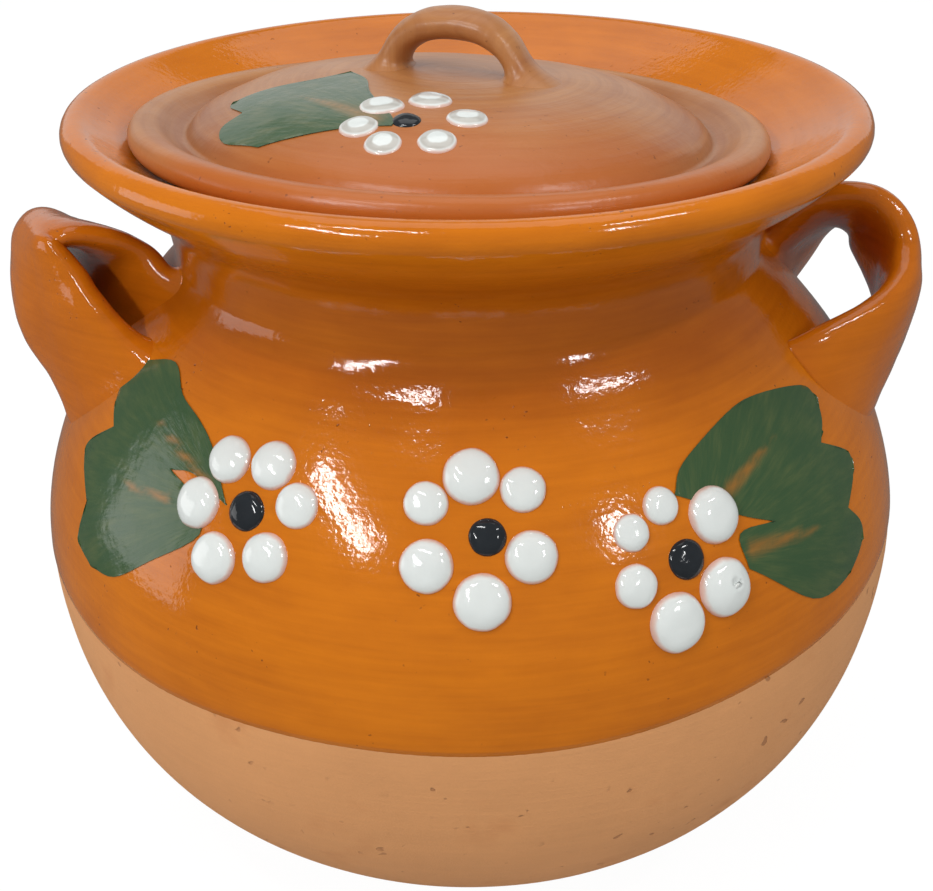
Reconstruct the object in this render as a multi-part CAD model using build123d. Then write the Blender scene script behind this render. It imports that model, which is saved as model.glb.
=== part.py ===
from build123d import *
import math
import os

# Glazed clay bean pot with a loose domed lid, two strap handles and enamel dot flowers.
# Millimetres. The pot stands on z = 0, its axis is Z, and its painted front looks along -Y.

# Pot form: foot, belly, neck and lip, all on the clay's outer face.
foot_radius = 54.0
foot_rise_angle = 17.5
belly_radius = 120.0
belly_height = 91.0
neck_radius = 77.0
neck_height = 171.0
rim_radius = 100.0
lip_roll = 3.5
flare_angle = 47.5
wall = 7.0

# How full each stretch of the outline is drawn, as tangent lengths.
foot_fullness = 41.0
belly_fullness_low = 49.5
belly_fullness_high = 47.0
neck_fullness_low = 8.5
neck_fullness_high = 19.0
lip_fullness = 20.0

# Lid seat: a shallow bowl-shaped ring inside the flare, part of a ball about a point on the axis.
seat_radius = 165.5
seat_centre_height = 343.5
seat_edge_radius = 73.0
throat_fullness = 5.0

# Glaze film over the clay, and the slanted line down to which the pot was dipped.
glaze_film = 0.5
dip_height = 101.0
dip_slope_x = 2.0
dip_slope_y = 3.3

# Lid, thrown as a domed disc with a rolled edge and a sunk ring inside it.
lid_radius = 79.1
lid_roll = 3.4
lid_clearance = 0.3
lid_wall = 6.5
lid_brim_width = 13.6
lid_ring_depth = 4.6
lid_dome_height = 10.6
dome_knee_radius_share = 0.80
dome_knee_height_share = 0.40
dome_knee_angle = 156.0
dome_arm_shares = (0.08, 0.14, 0.14, 0.40)
lid_tilt_front = 3.05
lid_tilt_side = 1.7

# Loop on the lid.
lid_loop_half_span = 15.5
lid_loop_rise = 10.8
lid_loop_width = 13.2
lid_loop_thickness = 8.2
lid_loop_turn = -21.0
lid_loop_x = 1.0
lid_loop_y = -2.0

# Strap handles, each between the neck and the shoulder.
strap_width = 36.0
strap_thickness = 12.4
right_azimuth = 0.0
right_stand_off = 40.2
right_low = 116.0
right_top = 176.6
left_azimuth = 190.0
left_stand_off = 32.1
left_low = 141.3
left_top = 176.2

# Enamel flowers.
dot_diameter = 12.0
dot_height_share = 0.24
lid_dot_height_share = 0.16
centre_height_share = 0.14
flower_radius = 12.6
left_centre_diameter = 9.1
middle_centre_diameter = 8.2
right_centre_diameter = 9.0
lid_centre_diameter = 6.6

# Painted leaves.
leaf_length = 62.0
lid_leaf_length = 48.0
leaf_film = 0.4

overrun = 30.0

os.makedirs("parts", exist_ok=True)


def save(shape, node):
    export_step(shape, f"parts/{node}.step")


def polar(radius, angle):
    return Vector(radius * math.cos(math.radians(angle)), radius * math.sin(math.radians(angle)))


def stretched(start, start_arm, end_arm, end, plain_chord):
    # A curve between two points, whose arms follow the chord when the wall is offset.
    grow = (end - start).length / plain_chord
    return Bezier(start, start + start_arm * grow, end + end_arm * grow, end)


# Points and directions of the pot's outline, as (radius, height).
foot_point = Vector(foot_radius, 0)
belly_point = Vector(belly_radius, belly_height)
neck_point = Vector(neck_radius, neck_height)
lip_reach = seat_radius + glaze_film + lip_roll
lip_centre = Vector(
    rim_radius - lip_roll,
    seat_centre_height - math.sqrt(lip_reach ** 2 - (rim_radius - lip_roll) ** 2),
)
seat_centre = Vector(0, seat_centre_height)
foot_way = polar(1, foot_rise_angle)
foot_out = polar(1, foot_rise_angle - 90)
flare_way = polar(1, flare_angle)
flare_out = polar(1, flare_angle - 90)
up = Vector(0, 1)
out = Vector(1, 0)
lip_low = lip_centre + flare_out * lip_roll
bowl_chord = (belly_point - foot_point).length
shoulder_chord = (neck_point - belly_point).length
flare_chord = (lip_low - neck_point).length


def bowl_line(offset):
    return stretched(
        foot_point + foot_out * offset, foot_way * foot_fullness,
        up * -belly_fullness_low, belly_point + out * offset, bowl_chord,
    )


def shoulder_line(offset):
    return stretched(
        belly_point + out * offset, up * belly_fullness_high,
        up * -neck_fullness_low, neck_point + out * offset, shoulder_chord,
    )


def flare_line(offset):
    return stretched(
        neck_point + out * offset, up * neck_fullness_high,
        flare_way * -lip_fullness, lip_low + flare_out * offset, flare_chord,
    )


def seat_point(radius, grow):
    reach = seat_radius + glaze_film - grow
    return Vector(radius, seat_centre_height - math.sqrt(reach ** 2 - radius ** 2))


def lip_top(grow):
    # Where the rolled lip meets the seat, on the line from the lip's centre to the seat's centre.
    return lip_centre + (seat_centre - lip_centre).normalized() * (lip_roll + grow)


def lip_line(grow):
    crest = lip_centre + polar(lip_roll + grow, flare_angle / 2)
    return ThreePointArc(lip_low + flare_out * grow, crest, lip_top(grow))


def seat_line(grow):
    edge = seat_point(seat_edge_radius, grow)
    middle = seat_point((seat_edge_radius + lip_top(grow).X) / 2, grow)
    return ThreePointArc(lip_top(grow), middle, edge)


def throat_line(grow):
    edge = seat_point(seat_edge_radius, grow)
    inward = Vector(edge.Y - seat_centre_height, -edge.X).normalized()
    neck = neck_point - out * (wall + grow)
    return Bezier(edge, edge + inward * throat_fullness, neck + up * 2 * throat_fullness, neck)


def turned_solid(outline):
    return revolve(Plane.XZ * make_face(outline), Axis.Z)


def filled_form(offset):
    # The outer form without its hollow, up to the top of the lip.
    bowl = bowl_line(offset)
    lip = lip_line(offset)
    floor = Line(Vector(0, (bowl @ 0).Y), bowl @ 0)
    top = Line(lip @ 1, Vector(0, (lip @ 1).Y))
    axis = Line(top @ 1, floor @ 0)
    return turned_solid([floor, bowl, shoulder_line(offset), flare_line(offset), lip, top, axis])


def hollow_form(grow):
    # The thrown pot with its hollow. A positive grow adds a skin on every face.
    bowl = bowl_line(grow)
    inner_bowl = bowl_line(-wall - grow)
    floor = Line(Vector(0, (bowl @ 0).Y), bowl @ 0)
    inner_floor = Line(inner_bowl @ 0, Vector(0, (inner_bowl @ 0).Y))
    axis = Line(inner_floor @ 1, floor @ 0)
    outline = [floor, bowl, shoulder_line(grow), flare_line(grow), lip_line(grow), seat_line(grow)]
    outline += [throat_line(grow), shoulder_line(-wall - grow), inner_bowl, inner_floor, axis]
    return turned_solid(outline)


def core_form():
    # Everything inside the middle of the wall, up to the neck.
    bowl = bowl_line(-wall / 2)
    shoulder = shoulder_line(-wall / 2)
    floor = Line(Vector(0, (bowl @ 0).Y), bowl @ 0)
    top = Line(shoulder @ 1, Vector(0, (shoulder @ 1).Y))
    return turned_solid([floor, bowl, shoulder, top, Line(top @ 1, floor @ 0)])


clay = hollow_form(0)
clay_filled = filled_form(0)
glazed_filled = filled_form(glaze_film)
painted_filled = filled_form(glaze_film + leaf_film)


# Strap handles: sections set along the strap, each (out, up, swing, turn, width, thickness).
# Out is a share of the stand-off, measured from the pot's face at the section's own height, and
# up is a share of the way from the low end to the top. Swing moves a section round the pot and
# turn twists it about the strap's own line, in degrees.
right_strap_shares = [
    (-0.22, 0.87, 0, 0, 1.00, 0.85),
    (0.05, 0.93, 0, 0, 1.00, 0.88),
    (0.31, 1.01, 0, 0, 1.00, 0.88),
    (0.63, 1.00, 0, 0, 1.00, 0.90),
    (0.90, 0.91, 0, 0, 1.00, 0.95),
    (0.79, 0.72, 0, 0, 1.00, 1.00),
    (0.44, 0.48, 0, 0, 1.00, 1.00),
    (0.08, 0.23, 0, 0, 1.05, 0.96),
    (-0.22, 0.00, 0, 0, 1.15, 0.90),
    (-0.43, -0.20, 0, 0, 1.20, 0.85),
]
left_strap_shares = [
    (-0.45, 0.62, 7, -2, 0.83, 0.88),
    (-0.13, 0.70, 6, 0, 0.85, 0.88),
    (0.27, 0.77, 1, 15, 0.96, 0.84),
    (0.56, 0.88, -2, 15, 0.95, 0.74),
    (0.79, 0.99, -2, 6, 0.94, 0.64),
    (0.98, 0.93, -1, -16, 1.02, 0.64),
    (0.96, 0.73, 1, -34, 1.07, 0.76),
    (0.61, 0.48, 4, -42, 1.10, 0.86),
    (0.21, 0.23, 8, -42, 1.08, 0.88),
    (-0.12, 0.00, 11, -42, 1.05, 0.88),
    (-0.37, -0.19, 14, -40, 1.03, 0.85),
]


def line_place(line, goal, measure):
    # How far along a line the measure, which only grows along it, reaches the goal.
    low, high = 0.0, 1.0
    while high - low > glaze_film / line.length / 1000:
        middle = (low + high) / 2
        low, high = (middle, high) if measure(line @ middle) < goal else (low, middle)
    return low


def face_radius(height):
    # Radius of the pot's outer face at a height above the belly.
    line = shoulder_line(0) if height < neck_height else flare_line(0)
    return (line @ line_place(line, height, lambda point: point.Y)).X


def band(centres, sides, turns, sizes):
    # Flat round-edged sections along the centres, each with its side way, turn and size.
    ways = [centres[1] - centres[0]]
    ways += [after - before for before, after in zip(centres, centres[2:])]
    ways.append(centres[-1] - centres[-2])
    faces = []
    for centre, way, side, turn, size in zip(centres, ways, sides, turns, sizes):
        square = side - way * (side.dot(way) / way.length ** 2)
        plane = Plane(centre, x_dir=square, z_dir=way)
        faces.append(plane * Rot(0, 0, turn) * SlotOverall(*size))
    return loft(faces)


def strap(sections, azimuth, stand_off, low, top):
    centres = []
    sides = []
    turns = []
    sizes = []
    for out_share, up_share, swing, turn, width_share, thickness_share in sections:
        height = low + up_share * (top - low)
        flat = polar(face_radius(height) + out_share * stand_off, azimuth + swing)
        centres.append(flat + Vector(0, 0, height))
        sides.append(polar(1, azimuth + swing + 90))
        turns.append(turn)
        sizes.append((strap_width * width_share, strap_thickness * thickness_share))
    return band(centres, sides, turns, sizes) - clay_filled


right_handle = strap(
    right_strap_shares, right_azimuth, right_stand_off, right_low, right_top
)
left_handle = strap(
    left_strap_shares, left_azimuth, left_stand_off, left_low, left_top
)


def glaze_skin():
    # A skin on the whole pot, less what lies outside it below the dip line.
    reach = belly_radius + overrun
    below = Pos(0, 0, -reach) * Box(2 * reach, 2 * reach, 2 * reach)
    below = Pos(0, 0, dip_height) * Rot(dip_slope_y, -dip_slope_x, 0) * below
    skin = hollow_form(glaze_film) - clay
    skin -= below - core_form()
    return skin - [right_handle, left_handle]


# Lid, drawn level and then slid a little forwards and sideways on its seat.
lid_edge_radius = lid_radius - lid_roll
lid_ring_radius = lid_radius - lid_brim_width
lid_edge_reach = seat_radius - lid_clearance - lid_roll
lid_edge_height = seat_centre_height - math.sqrt(lid_edge_reach ** 2 - lid_edge_radius ** 2)
lid_crest_height = lid_edge_height + lid_roll
dome_top_height = lid_crest_height + lid_dome_height
lid_crest = Vector(lid_edge_radius, lid_crest_height)
lid_under = lid_crest - up * 2 * lid_roll
ring_point = Vector(lid_ring_radius, lid_crest_height - lid_ring_depth)
dome_knee = Vector(
    lid_ring_radius * dome_knee_radius_share,
    lid_crest_height + lid_dome_height * dome_knee_height_share,
)
dome_knee_way = polar(1, dome_knee_angle)
dome_top = Vector(0, dome_top_height)


def dome_lines(drop):
    # The lid's rising face from the sunk ring to its top, lowered by drop.
    ring_arm, low_arm, high_arm, top_arm = [share * lid_ring_radius for share in dome_arm_shares]
    ring = ring_point - up * drop
    knee = dome_knee - up * drop
    top = dome_top - up * drop
    lower = Bezier(ring, ring - out * ring_arm, knee - dome_knee_way * low_arm, knee)
    upper = Bezier(knee, knee + dome_knee_way * high_arm, top + out * top_arm, top)
    return [lower, upper]


def dish_line(start, end):
    arm = out * ((start.X - end.X) / 2)
    return Bezier(start, start - arm, end + arm, end)


def lid_edge_lines():
    roll = ThreePointArc(lid_under, Vector(lid_radius, lid_edge_height), lid_crest)
    return [roll, dish_line(lid_crest, ring_point)]


def lid_form():
    under_dome = dome_lines(lid_wall)
    axis = Line(dome_top, dome_top - up * lid_wall)
    under_ring = dish_line(lid_under, ring_point - up * lid_wall)
    return turned_solid([*lid_edge_lines(), *dome_lines(0), axis, *under_dome, under_ring])


def lid_filled_form():
    middle = Vector(0, lid_under.Y)
    closing = [Line(dome_top, middle), Line(middle, lid_under)]
    return turned_solid([*lid_edge_lines(), *dome_lines(0), *closing])


def on_seat(shape):
    turned = Rot(-lid_tilt_front, lid_tilt_side, 0)
    return Pos(0, 0, seat_centre_height) * turned * Pos(0, 0, -seat_centre_height) * shape


lid_level = lid_form()
lid_filled = lid_filled_form()

# The loop on the lid: sections along its arch, each (across, up, width, thickness), as shares of
# the half span, the rise above the dome's top, and the loop's own width and thickness.
loop_shares = [
    (-1.30, -0.60, 1.25, 1.35),
    (-1.12, -0.23, 1.15, 1.20),
    (-1.00, 0.14, 1.05, 1.05),
    (-0.84, 0.60, 1.00, 1.00),
    (-0.50, 0.92, 1.00, 1.00),
    (0.00, 1.00, 1.00, 1.00),
    (0.50, 0.90, 1.00, 1.00),
    (0.86, 0.58, 1.00, 1.00),
    (1.04, 0.14, 1.05, 1.05),
    (1.20, -0.23, 1.20, 1.20),
    (1.45, -0.60, 1.35, 1.35),
]


def lid_loop():
    along = polar(1, lid_loop_turn)
    across = polar(1, lid_loop_turn + 90)
    centres = []
    sizes = []
    for side_share, up_share, width_share, thickness_share in loop_shares:
        middle = Vector(lid_loop_x, lid_loop_y, dome_top_height + up_share * lid_loop_rise)
        centres.append(middle + along * (side_share * lid_loop_half_span))
        sizes.append((lid_loop_width * width_share, lid_loop_thickness * thickness_share))
    count = len(centres)
    return band(centres, [across] * count, [0] * count, sizes) - lid_filled


# Flowers: each dot is (angle, distance, size), in degrees and shares of the flower and the dot.
left_dot_shares = [
    (132, 1.00, 0.92), (74, 0.89, 0.92), (18, 0.97, 0.85),
    (-50, 0.92, 0.93), (-114, 1.10, 0.98), (-172, 1.08, 0.99),
]
middle_dot_shares = [
    (104, 1.02, 1.02), (50, 0.98, 0.83), (-27, 0.83, 0.95),
    (-96, 1.13, 1.03), (-154, 1.16, 0.97), (152, 1.16, 0.80),
]
right_dot_shares = [
    (103, 1.00, 0.72), (144, 1.11, 0.70), (-167, 1.07, 0.82),
    (-111, 1.15, 1.12), (-47, 0.97, 1.12), (37, 0.96, 1.08),
]
lid_dot_shares = [
    (125, 0.81, 0.87), (67, 1.01, 0.85), (6, 1.06, 0.79),
    (-52, 0.88, 0.72), (-119, 0.78, 0.70), (-172, 0.83, 0.74),
]

# Places of the flowers and leaves: (azimuth in degrees, height) on the pot, and shares of the
# ring's radius across the lid.
left_flower_azimuth = 241.7
left_flower_height = 139.7
middle_flower_azimuth = 272.0
middle_flower_height = 140.5
right_flower_azimuth = 295.5
right_flower_height = 131.3
left_leaf_azimuth = 224.5
left_leaf_height = 139.4
right_leaf_azimuth = 311.1
right_leaf_height = 137.0
lid_flower_shares = (-0.14, -0.64)


def face_plane(point, way, azimuth):
    # A plane on a turned face: x runs round the axis and y up the slope.
    normal = polar(way.Y, azimuth) + Vector(0, 0, -way.X)
    origin = polar(point.X, azimuth) + Vector(0, 0, point.Y)
    return Plane(origin, x_dir=polar(1, azimuth + 90), z_dir=normal)


def pot_plane(azimuth, height):
    line = shoulder_line(glaze_film)
    place = line_place(line, height, lambda point: point.Y)
    return face_plane(line @ place, line % place, azimuth)


def lid_plane(x, y):
    radius = math.hypot(x, y)
    line = dome_lines(0)[0 if radius > dome_knee.X else 1]
    place = line_place(line, -radius, lambda point: -point.X)
    return face_plane(line @ place, line % place, math.degrees(math.atan2(y, x)))


def dome_on(plane, diameter, height):
    # A shallow round drop of enamel: the top of a ball that is sunk in the face under it.
    ball_radius = (diameter ** 2 / 4 + height ** 2) / (2 * height)
    ball = Pos(0, 0, height - ball_radius) * Sphere(ball_radius)
    return plane * (ball & Box(2 * diameter, 2 * diameter, diameter))


def pot_flower(azimuth, height, dot_shares, centre_diameter):
    middle = pot_plane(azimuth, height)
    dots = []
    for angle, distance_share, size_share in dot_shares:
        spot = middle.from_local_coords(polar(flower_radius * distance_share, angle))
        spot_azimuth = math.degrees(math.atan2(spot.Y, spot.X))
        diameter = dot_diameter * size_share
        plane = pot_plane(spot_azimuth, spot.Z)
        dots.append(dome_on(plane, diameter, diameter * dot_height_share) - glazed_filled)
    centre = dome_on(middle, centre_diameter, centre_diameter * centre_height_share)
    return Compound(dots), centre - glazed_filled


def lid_flower():
    across, along = [share * lid_ring_radius for share in lid_flower_shares]
    dots = []
    for angle, distance_share, size_share in lid_dot_shares:
        spot = Vector(across, along) + polar(flower_radius * distance_share, angle)
        diameter = dot_diameter * size_share
        dot = dome_on(lid_plane(spot.X, spot.Y), diameter, diameter * lid_dot_height_share)
        dots.append(dot - lid_filled)
    height = lid_centre_diameter * centre_height_share
    centre = dome_on(lid_plane(across, along), lid_centre_diameter, height)
    return Compound(dots), centre - lid_filled


# Leaves: strokes from corner to corner, as shares of the leaf's length.
left_leaf_shares = [
    [(-0.36, 0.34), (-0.17, 0.39), (-0.03, 0.30), (0.12, 0.25), (0.25, 0.18), (0.41, 0.03)],
    [(0.41, 0.03), (0.22, 0.07), (0.10, 0.04)],
    [(0.10, 0.04), (0.24, 0.00), (0.35, -0.11), (0.15, -0.31), (-0.03, -0.45), (-0.21, -0.48)],
    [(-0.21, -0.48), (-0.35, -0.42), (-0.34, -0.27)],
    [(-0.34, -0.27), (-0.49, -0.13), (-0.50, -0.06), (-0.35, 0.05)],
    [(-0.35, 0.05), (-0.42, 0.12), (-0.45, 0.23), (-0.36, 0.34)],
]
right_leaf_shares = [
    [(-0.42, 0.15), (-0.33, 0.24), (-0.05, 0.33), (0.14, 0.34), (0.42, 0.29), (0.48, 0.23)],
    [(0.48, 0.23), (0.45, 0.14), (0.37, 0.06)],
    [(0.37, 0.06), (0.51, -0.01), (0.55, -0.05), (0.52, -0.12), (0.40, -0.22)],
    [(0.40, -0.22), (0.48, -0.31), (0.45, -0.39), (0.28, -0.47), (0.05, -0.45), (-0.24, -0.21)],
    [(-0.24, -0.21), (-0.23, -0.08), (-0.06, -0.10)],
    [(-0.06, -0.10), (-0.20, -0.02), (-0.42, 0.15)],
]
lid_leaf_shares = [
    [(-0.51, -0.06), (-0.42, -0.25), (-0.38, -0.52), (-0.26, -0.85), (-0.26, -0.93)],
    [(-0.26, -0.93), (-0.40, -0.92), (-0.68, -0.91), (-0.87, -0.91)],
    [(-0.87, -0.91), (-1.05, -0.76), (-1.09, -0.60), (-1.00, -0.51)],
    [(-1.00, -0.51), (-1.09, -0.31), (-0.94, -0.23), (-0.69, -0.17), (-0.51, -0.06)],
]


def leaf_face(strokes, length):
    lines = []
    for stroke in strokes:
        lines.append(Spline([Vector(across, along) * length for across, along in stroke]))
    return make_face(lines)


def pot_leaf(azimuth, height, strokes, others):
    block = pot_plane(azimuth, height) * extrude(leaf_face(strokes, leaf_length), overrun, both=True)
    return (painted_filled - glazed_filled & block) - others


def lid_leaf(others):
    block = extrude(leaf_face(lid_leaf_shares, lid_leaf_length), dome_top_height + overrun)
    return (Pos(0, 0, leaf_film) * lid_filled - lid_filled & block) - others


left_petals, left_centre = pot_flower(
    left_flower_azimuth, left_flower_height, left_dot_shares, left_centre_diameter
)
middle_petals, middle_centre = pot_flower(
    middle_flower_azimuth, middle_flower_height, middle_dot_shares, middle_centre_diameter
)
right_petals, right_centre = pot_flower(
    right_flower_azimuth, right_flower_height, right_dot_shares, right_centre_diameter
)
lid_petals, lid_centre = lid_flower()
lid_handle = lid_loop()
leaf_left = pot_leaf(
    left_leaf_azimuth, left_leaf_height, left_leaf_shares,
    [*left_petals.solids(), left_centre, left_handle],
)
leaf_right = pot_leaf(
    right_leaf_azimuth, right_leaf_height, right_leaf_shares,
    [*right_petals.solids(), right_centre, right_handle],
)

save(clay, "pot_body")
save(glaze_skin(), "glaze_coat")
save(left_handle, "left_handle")
save(right_handle, "right_handle")
save(on_seat(lid_level), "lid")
save(on_seat(lid_handle), "lid_handle")
save(leaf_left, "leaf_left")
save(leaf_right, "leaf_right")
save(on_seat(lid_leaf([*lid_petals.solids(), lid_centre, lid_handle])), "lid_leaf")
save(left_petals, "flower_left_petals")
save(middle_petals, "flower_middle_petals")
save(right_petals, "flower_right_petals")
save(on_seat(lid_petals), "lid_flower_petals")
save(left_centre, "flower_left_centre")
save(middle_centre, "flower_middle_centre")
save(right_centre, "flower_right_centre")
save(on_seat(lid_centre), "lid_flower_centre")
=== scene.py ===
"""Glazed clay bean pot with a loose lid, strap handles and enamel dot flowers."""

import math

import bpy
from bpy.props import FloatProperty, FloatVectorProperty, PointerProperty
from mathutils import Matrix, Vector, noise
from mathutils.bvhtree import BVHTree


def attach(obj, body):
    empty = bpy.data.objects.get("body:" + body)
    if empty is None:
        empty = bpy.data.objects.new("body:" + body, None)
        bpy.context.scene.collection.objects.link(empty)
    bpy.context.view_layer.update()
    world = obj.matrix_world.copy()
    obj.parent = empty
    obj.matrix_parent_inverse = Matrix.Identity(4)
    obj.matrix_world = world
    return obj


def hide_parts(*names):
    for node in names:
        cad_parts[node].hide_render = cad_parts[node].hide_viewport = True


bl_info = {
    "name": "Clay bean pot",
    "version": (1, 0, 0),
    "blender": (4, 5, 0),
    "location": "View3D > Sidebar > Clay Pot",
    "description": "Models a glazed clay bean pot with its lid, handles, painted flowers and stage",
    "category": "Add Mesh",
}

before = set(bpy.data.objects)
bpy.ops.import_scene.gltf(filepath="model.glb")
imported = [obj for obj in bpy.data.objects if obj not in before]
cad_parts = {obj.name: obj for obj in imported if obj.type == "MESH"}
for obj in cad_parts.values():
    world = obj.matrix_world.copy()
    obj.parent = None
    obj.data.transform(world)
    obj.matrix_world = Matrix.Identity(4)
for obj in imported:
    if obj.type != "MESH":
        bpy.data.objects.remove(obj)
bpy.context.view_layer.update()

MM = 0.001
UP = Vector((0, 1))
OUT = Vector((1, 0))
AXIS = Vector((0, 0, 1))
IMAGE_WIDTH_PX = 933
MERGE_GAP = 0.00001


def srgb(red, green, blue):
    """A colour as the scene's linear values, from the usual 0 to 255 ones."""
    values = []
    for part in (red, green, blue):
        share = part / 255
        values.append(share / 12.92 if share <= 0.04045 else ((share + 0.055) / 1.055) ** 2.4)
    return tuple(values)


def length(name, about, value):
    return FloatProperty(name=name, description=about, default=value, unit="LENGTH", precision=4)


def share(name, about, value):
    return FloatProperty(name=name, description=about, default=value, subtype="FACTOR")


def strength(name, about, value):
    return FloatProperty(name=name, description=about, default=value)


def angle(name, about, degrees):
    return FloatProperty(
        name=name, description=about, default=math.radians(degrees), unit="ROTATION"
    )


def colour(name, about, value):
    return FloatVectorProperty(
        name=name, description=about, default=value, subtype="COLOR", min=0, max=1
    )


class PotSettings(bpy.types.PropertyGroup):
    """Sizes and colours of the thrown pot."""

    foot_radius: length("Foot radius", "Radius of the flat foot", 0.054)
    foot_rise: angle("Foot rise", "How steeply the belly leaves the foot", 17.5)
    belly_radius: length("Belly radius", "Largest radius of the pot", 0.120)
    belly_height: length("Belly height", "Height of the largest radius", 0.091)
    neck_radius: length("Neck radius", "Smallest outer radius under the lip", 0.077)
    neck_height: length("Neck height", "Height of the neck", 0.171)
    rim_radius: length("Rim radius", "Radius of the mouth at the lip", 0.100)
    lip_roll: length("Lip roll", "Radius of the lip's rounded edge", 0.0035)
    flare: angle("Flare", "Slope of the flared mouth", 47.5)
    wall: length("Wall", "Thickness of the clay", 0.007)
    seat_radius: length("Seat radius", "Ball radius of the lid's seat", 0.1655)
    seat_height: length("Seat centre", "Height of the seat's centre", 0.3435)
    seat_edge: length("Seat edge", "Inner radius of the seat", 0.073)
    film: length("Glaze film", "How far the glaze stands off the clay", 0.0005)
    dip_height: length("Dip height", "Height of the dip line on the axis", 0.101)
    wobble: length("Wobble", "How far the hand-thrown wall strays", 0.0007)
    clay: colour("Bare clay", "Colour of the unglazed foot", srgb(219, 155, 99))
    glaze: colour("Glaze", "Colour of the clear glaze over clay", srgb(216, 122, 18))
    # Deep glaze is the dark end of the glaze's mottling and also the colour of the painted shade in
    # the neck and inside the straps' loops.
    deep: colour("Deep glaze", "Colour where the glaze lies thick", srgb(170, 86, 10))


class HandleSettings(bpy.types.PropertyGroup):
    """Sizes of the two strap handles."""

    width: length("Width", "Width of the strap", 0.036)
    thickness: length("Thickness", "Thickness of the strap", 0.0124)
    right_azimuth: angle("Right azimuth", "Where the right strap stands round the pot", 0)
    right_stand_off: length("Right stand-off", "How far the right strap stands out", 0.0402)
    right_low: length("Right low end", "Height of the right strap's low end", 0.116)
    right_top: length("Right top", "Height of the right strap's top", 0.1766)
    left_azimuth: angle("Left azimuth", "Where the left strap stands round the pot", 190)
    left_stand_off: length("Left stand-off", "How far the left strap stands out", 0.0321)
    left_low: length("Left low end", "Height of the left strap's low end", 0.1413)
    left_top: length("Left top", "Height of the left strap's top", 0.1762)
    flare: length("Root flare", "How far the strap's roots spread on the pot", 0.0035)
    glaze: colour("Glaze", "Colour of the thicker glaze on the straps", srgb(210, 114, 16))


class LidSettings(bpy.types.PropertyGroup):
    """Sizes and colours of the lid and its loop."""

    radius: length("Radius", "Radius of the lid", 0.0791)
    roll: length("Roll", "Radius of the lid's rounded edge", 0.0034)
    brim: length("Brim", "Width from the edge to the sunk ring", 0.0136)
    ring_depth: length("Ring depth", "Depth of the sunk ring", 0.0046)
    dome_height: length("Dome height", "Height of the dome over the edge", 0.0106)
    wall: length("Wall", "Thickness of the lid", 0.0065)
    tilt_front: angle("Front tilt", "How far the lid has slid forwards", 3.05)
    tilt_side: angle("Side tilt", "How far the lid has slid sideways", 1.7)
    loop_span: length("Loop half span", "Half the width of the loop", 0.0155)
    loop_rise: length("Loop rise", "Height of the loop over the dome", 0.0108)
    loop_width: length("Loop width", "Width of the loop's clay", 0.0132)
    loop_thickness: length("Loop thickness", "Thickness of the loop's clay", 0.0082)
    loop_turn: angle("Loop turn", "How the loop is turned on the lid", -21)
    # Painted sheen: the lid clay is greyed to stand for the sheen over the lid's top and back.
    clay: colour("Lid clay", "Colour of the lid", srgb(189, 131, 78))
    # Deep lid clay is also the colour of the painted shade in the sunk ring.
    deep: colour("Deep lid clay", "Colour in the lid's hollows", srgb(150, 88, 46))
    # The lid glaze is the lid's orange where the painted sheen is left off, towards its front.
    glaze: colour("Lid glaze", "Colour of the thicker glaze at the lid's front", srgb(182, 98, 34))


class EnamelSettings(bpy.types.PropertyGroup):
    """Sizes and colours of the enamel flowers and leaves."""

    dot: length("Dot", "Diameter of an ordinary petal", 0.012)
    dot_height: share("Dot height", "Height of a petal as a share of its diameter", 0.24)
    lid_dot_height: share("Lid dot height", "The same on the lid", 0.16)
    centre_height: share("Centre height", "The same for a flower's centre", 0.20)
    flower_radius: length("Flower radius", "Distance of the petals from the centre", 0.0126)
    leaf: length("Leaf", "Length of a leaf on the pot", 0.062)
    lid_leaf: length("Lid leaf", "Length of the leaf on the lid", 0.048)
    leaf_film: length("Leaf film", "Thickness of the leaves' paint", 0.00025)
    white: colour("Petal white", "Colour of the petals", srgb(228, 233, 230))
    blush: colour("Petal edge", "Colour of a petal's thin edge", srgb(222, 176, 158))
    blue: colour("Centre blue", "Colour of the flowers' centres", srgb(34, 38, 42))
    green: colour("Leaf green", "Colour of the leaves", srgb(57, 84, 53))
    pale_green: colour("Brushed green", "Colour of the leaves' thin streaks", srgb(92, 104, 62))
    lid_green: colour("Lid leaf green", "Colour of the lid's leaf", srgb(68, 92, 66))
    lid_pale_green: colour("Lid leaf streaks", "Colour of its thin streaks", srgb(122, 122, 92))


class StageSettings(bpy.types.PropertyGroup):
    """The floor, the lamps and the camera."""

    floor: colour("Floor", "Colour of the floor", (0.6, 0.6, 0.6))
    sky: strength("Sky", "Strength of the light all round", 0.43)
    lamp_shine: strength("Lamp shine", "Brightness of the small lamps' faces", 34.0)
    window_shine: strength("Window shine", "Brightness of the wide lamp at the left", 1.6)
    top_shine: strength("Top shine", "Brightness of the wide lamp overhead", 1.0)
    back_shine: strength("Back shine", "Brightness of the white card behind the pot", 0.5)
    camera_back: length("Camera back", "How far in front of the pot the camera stands", 0.3204)
    camera_height: length("Camera height", "Height of the camera", 0.2895)
    camera_pitch: angle("Camera pitch", "How far the camera looks down", 30.2)
    camera_yaw: angle("Camera yaw", "How far the camera turns", -0.17)
    camera_roll: angle("Camera roll", "How far the camera leans", -0.47)
    focal_px: strength("Focal length", "In pixels of the picture", 1250.4)


# Shader maths.


def sums(operation):
    """A method that puts a Math node between a value and what stands after the sign."""
    return lambda self, other: self.maths(operation, self, other)


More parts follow.
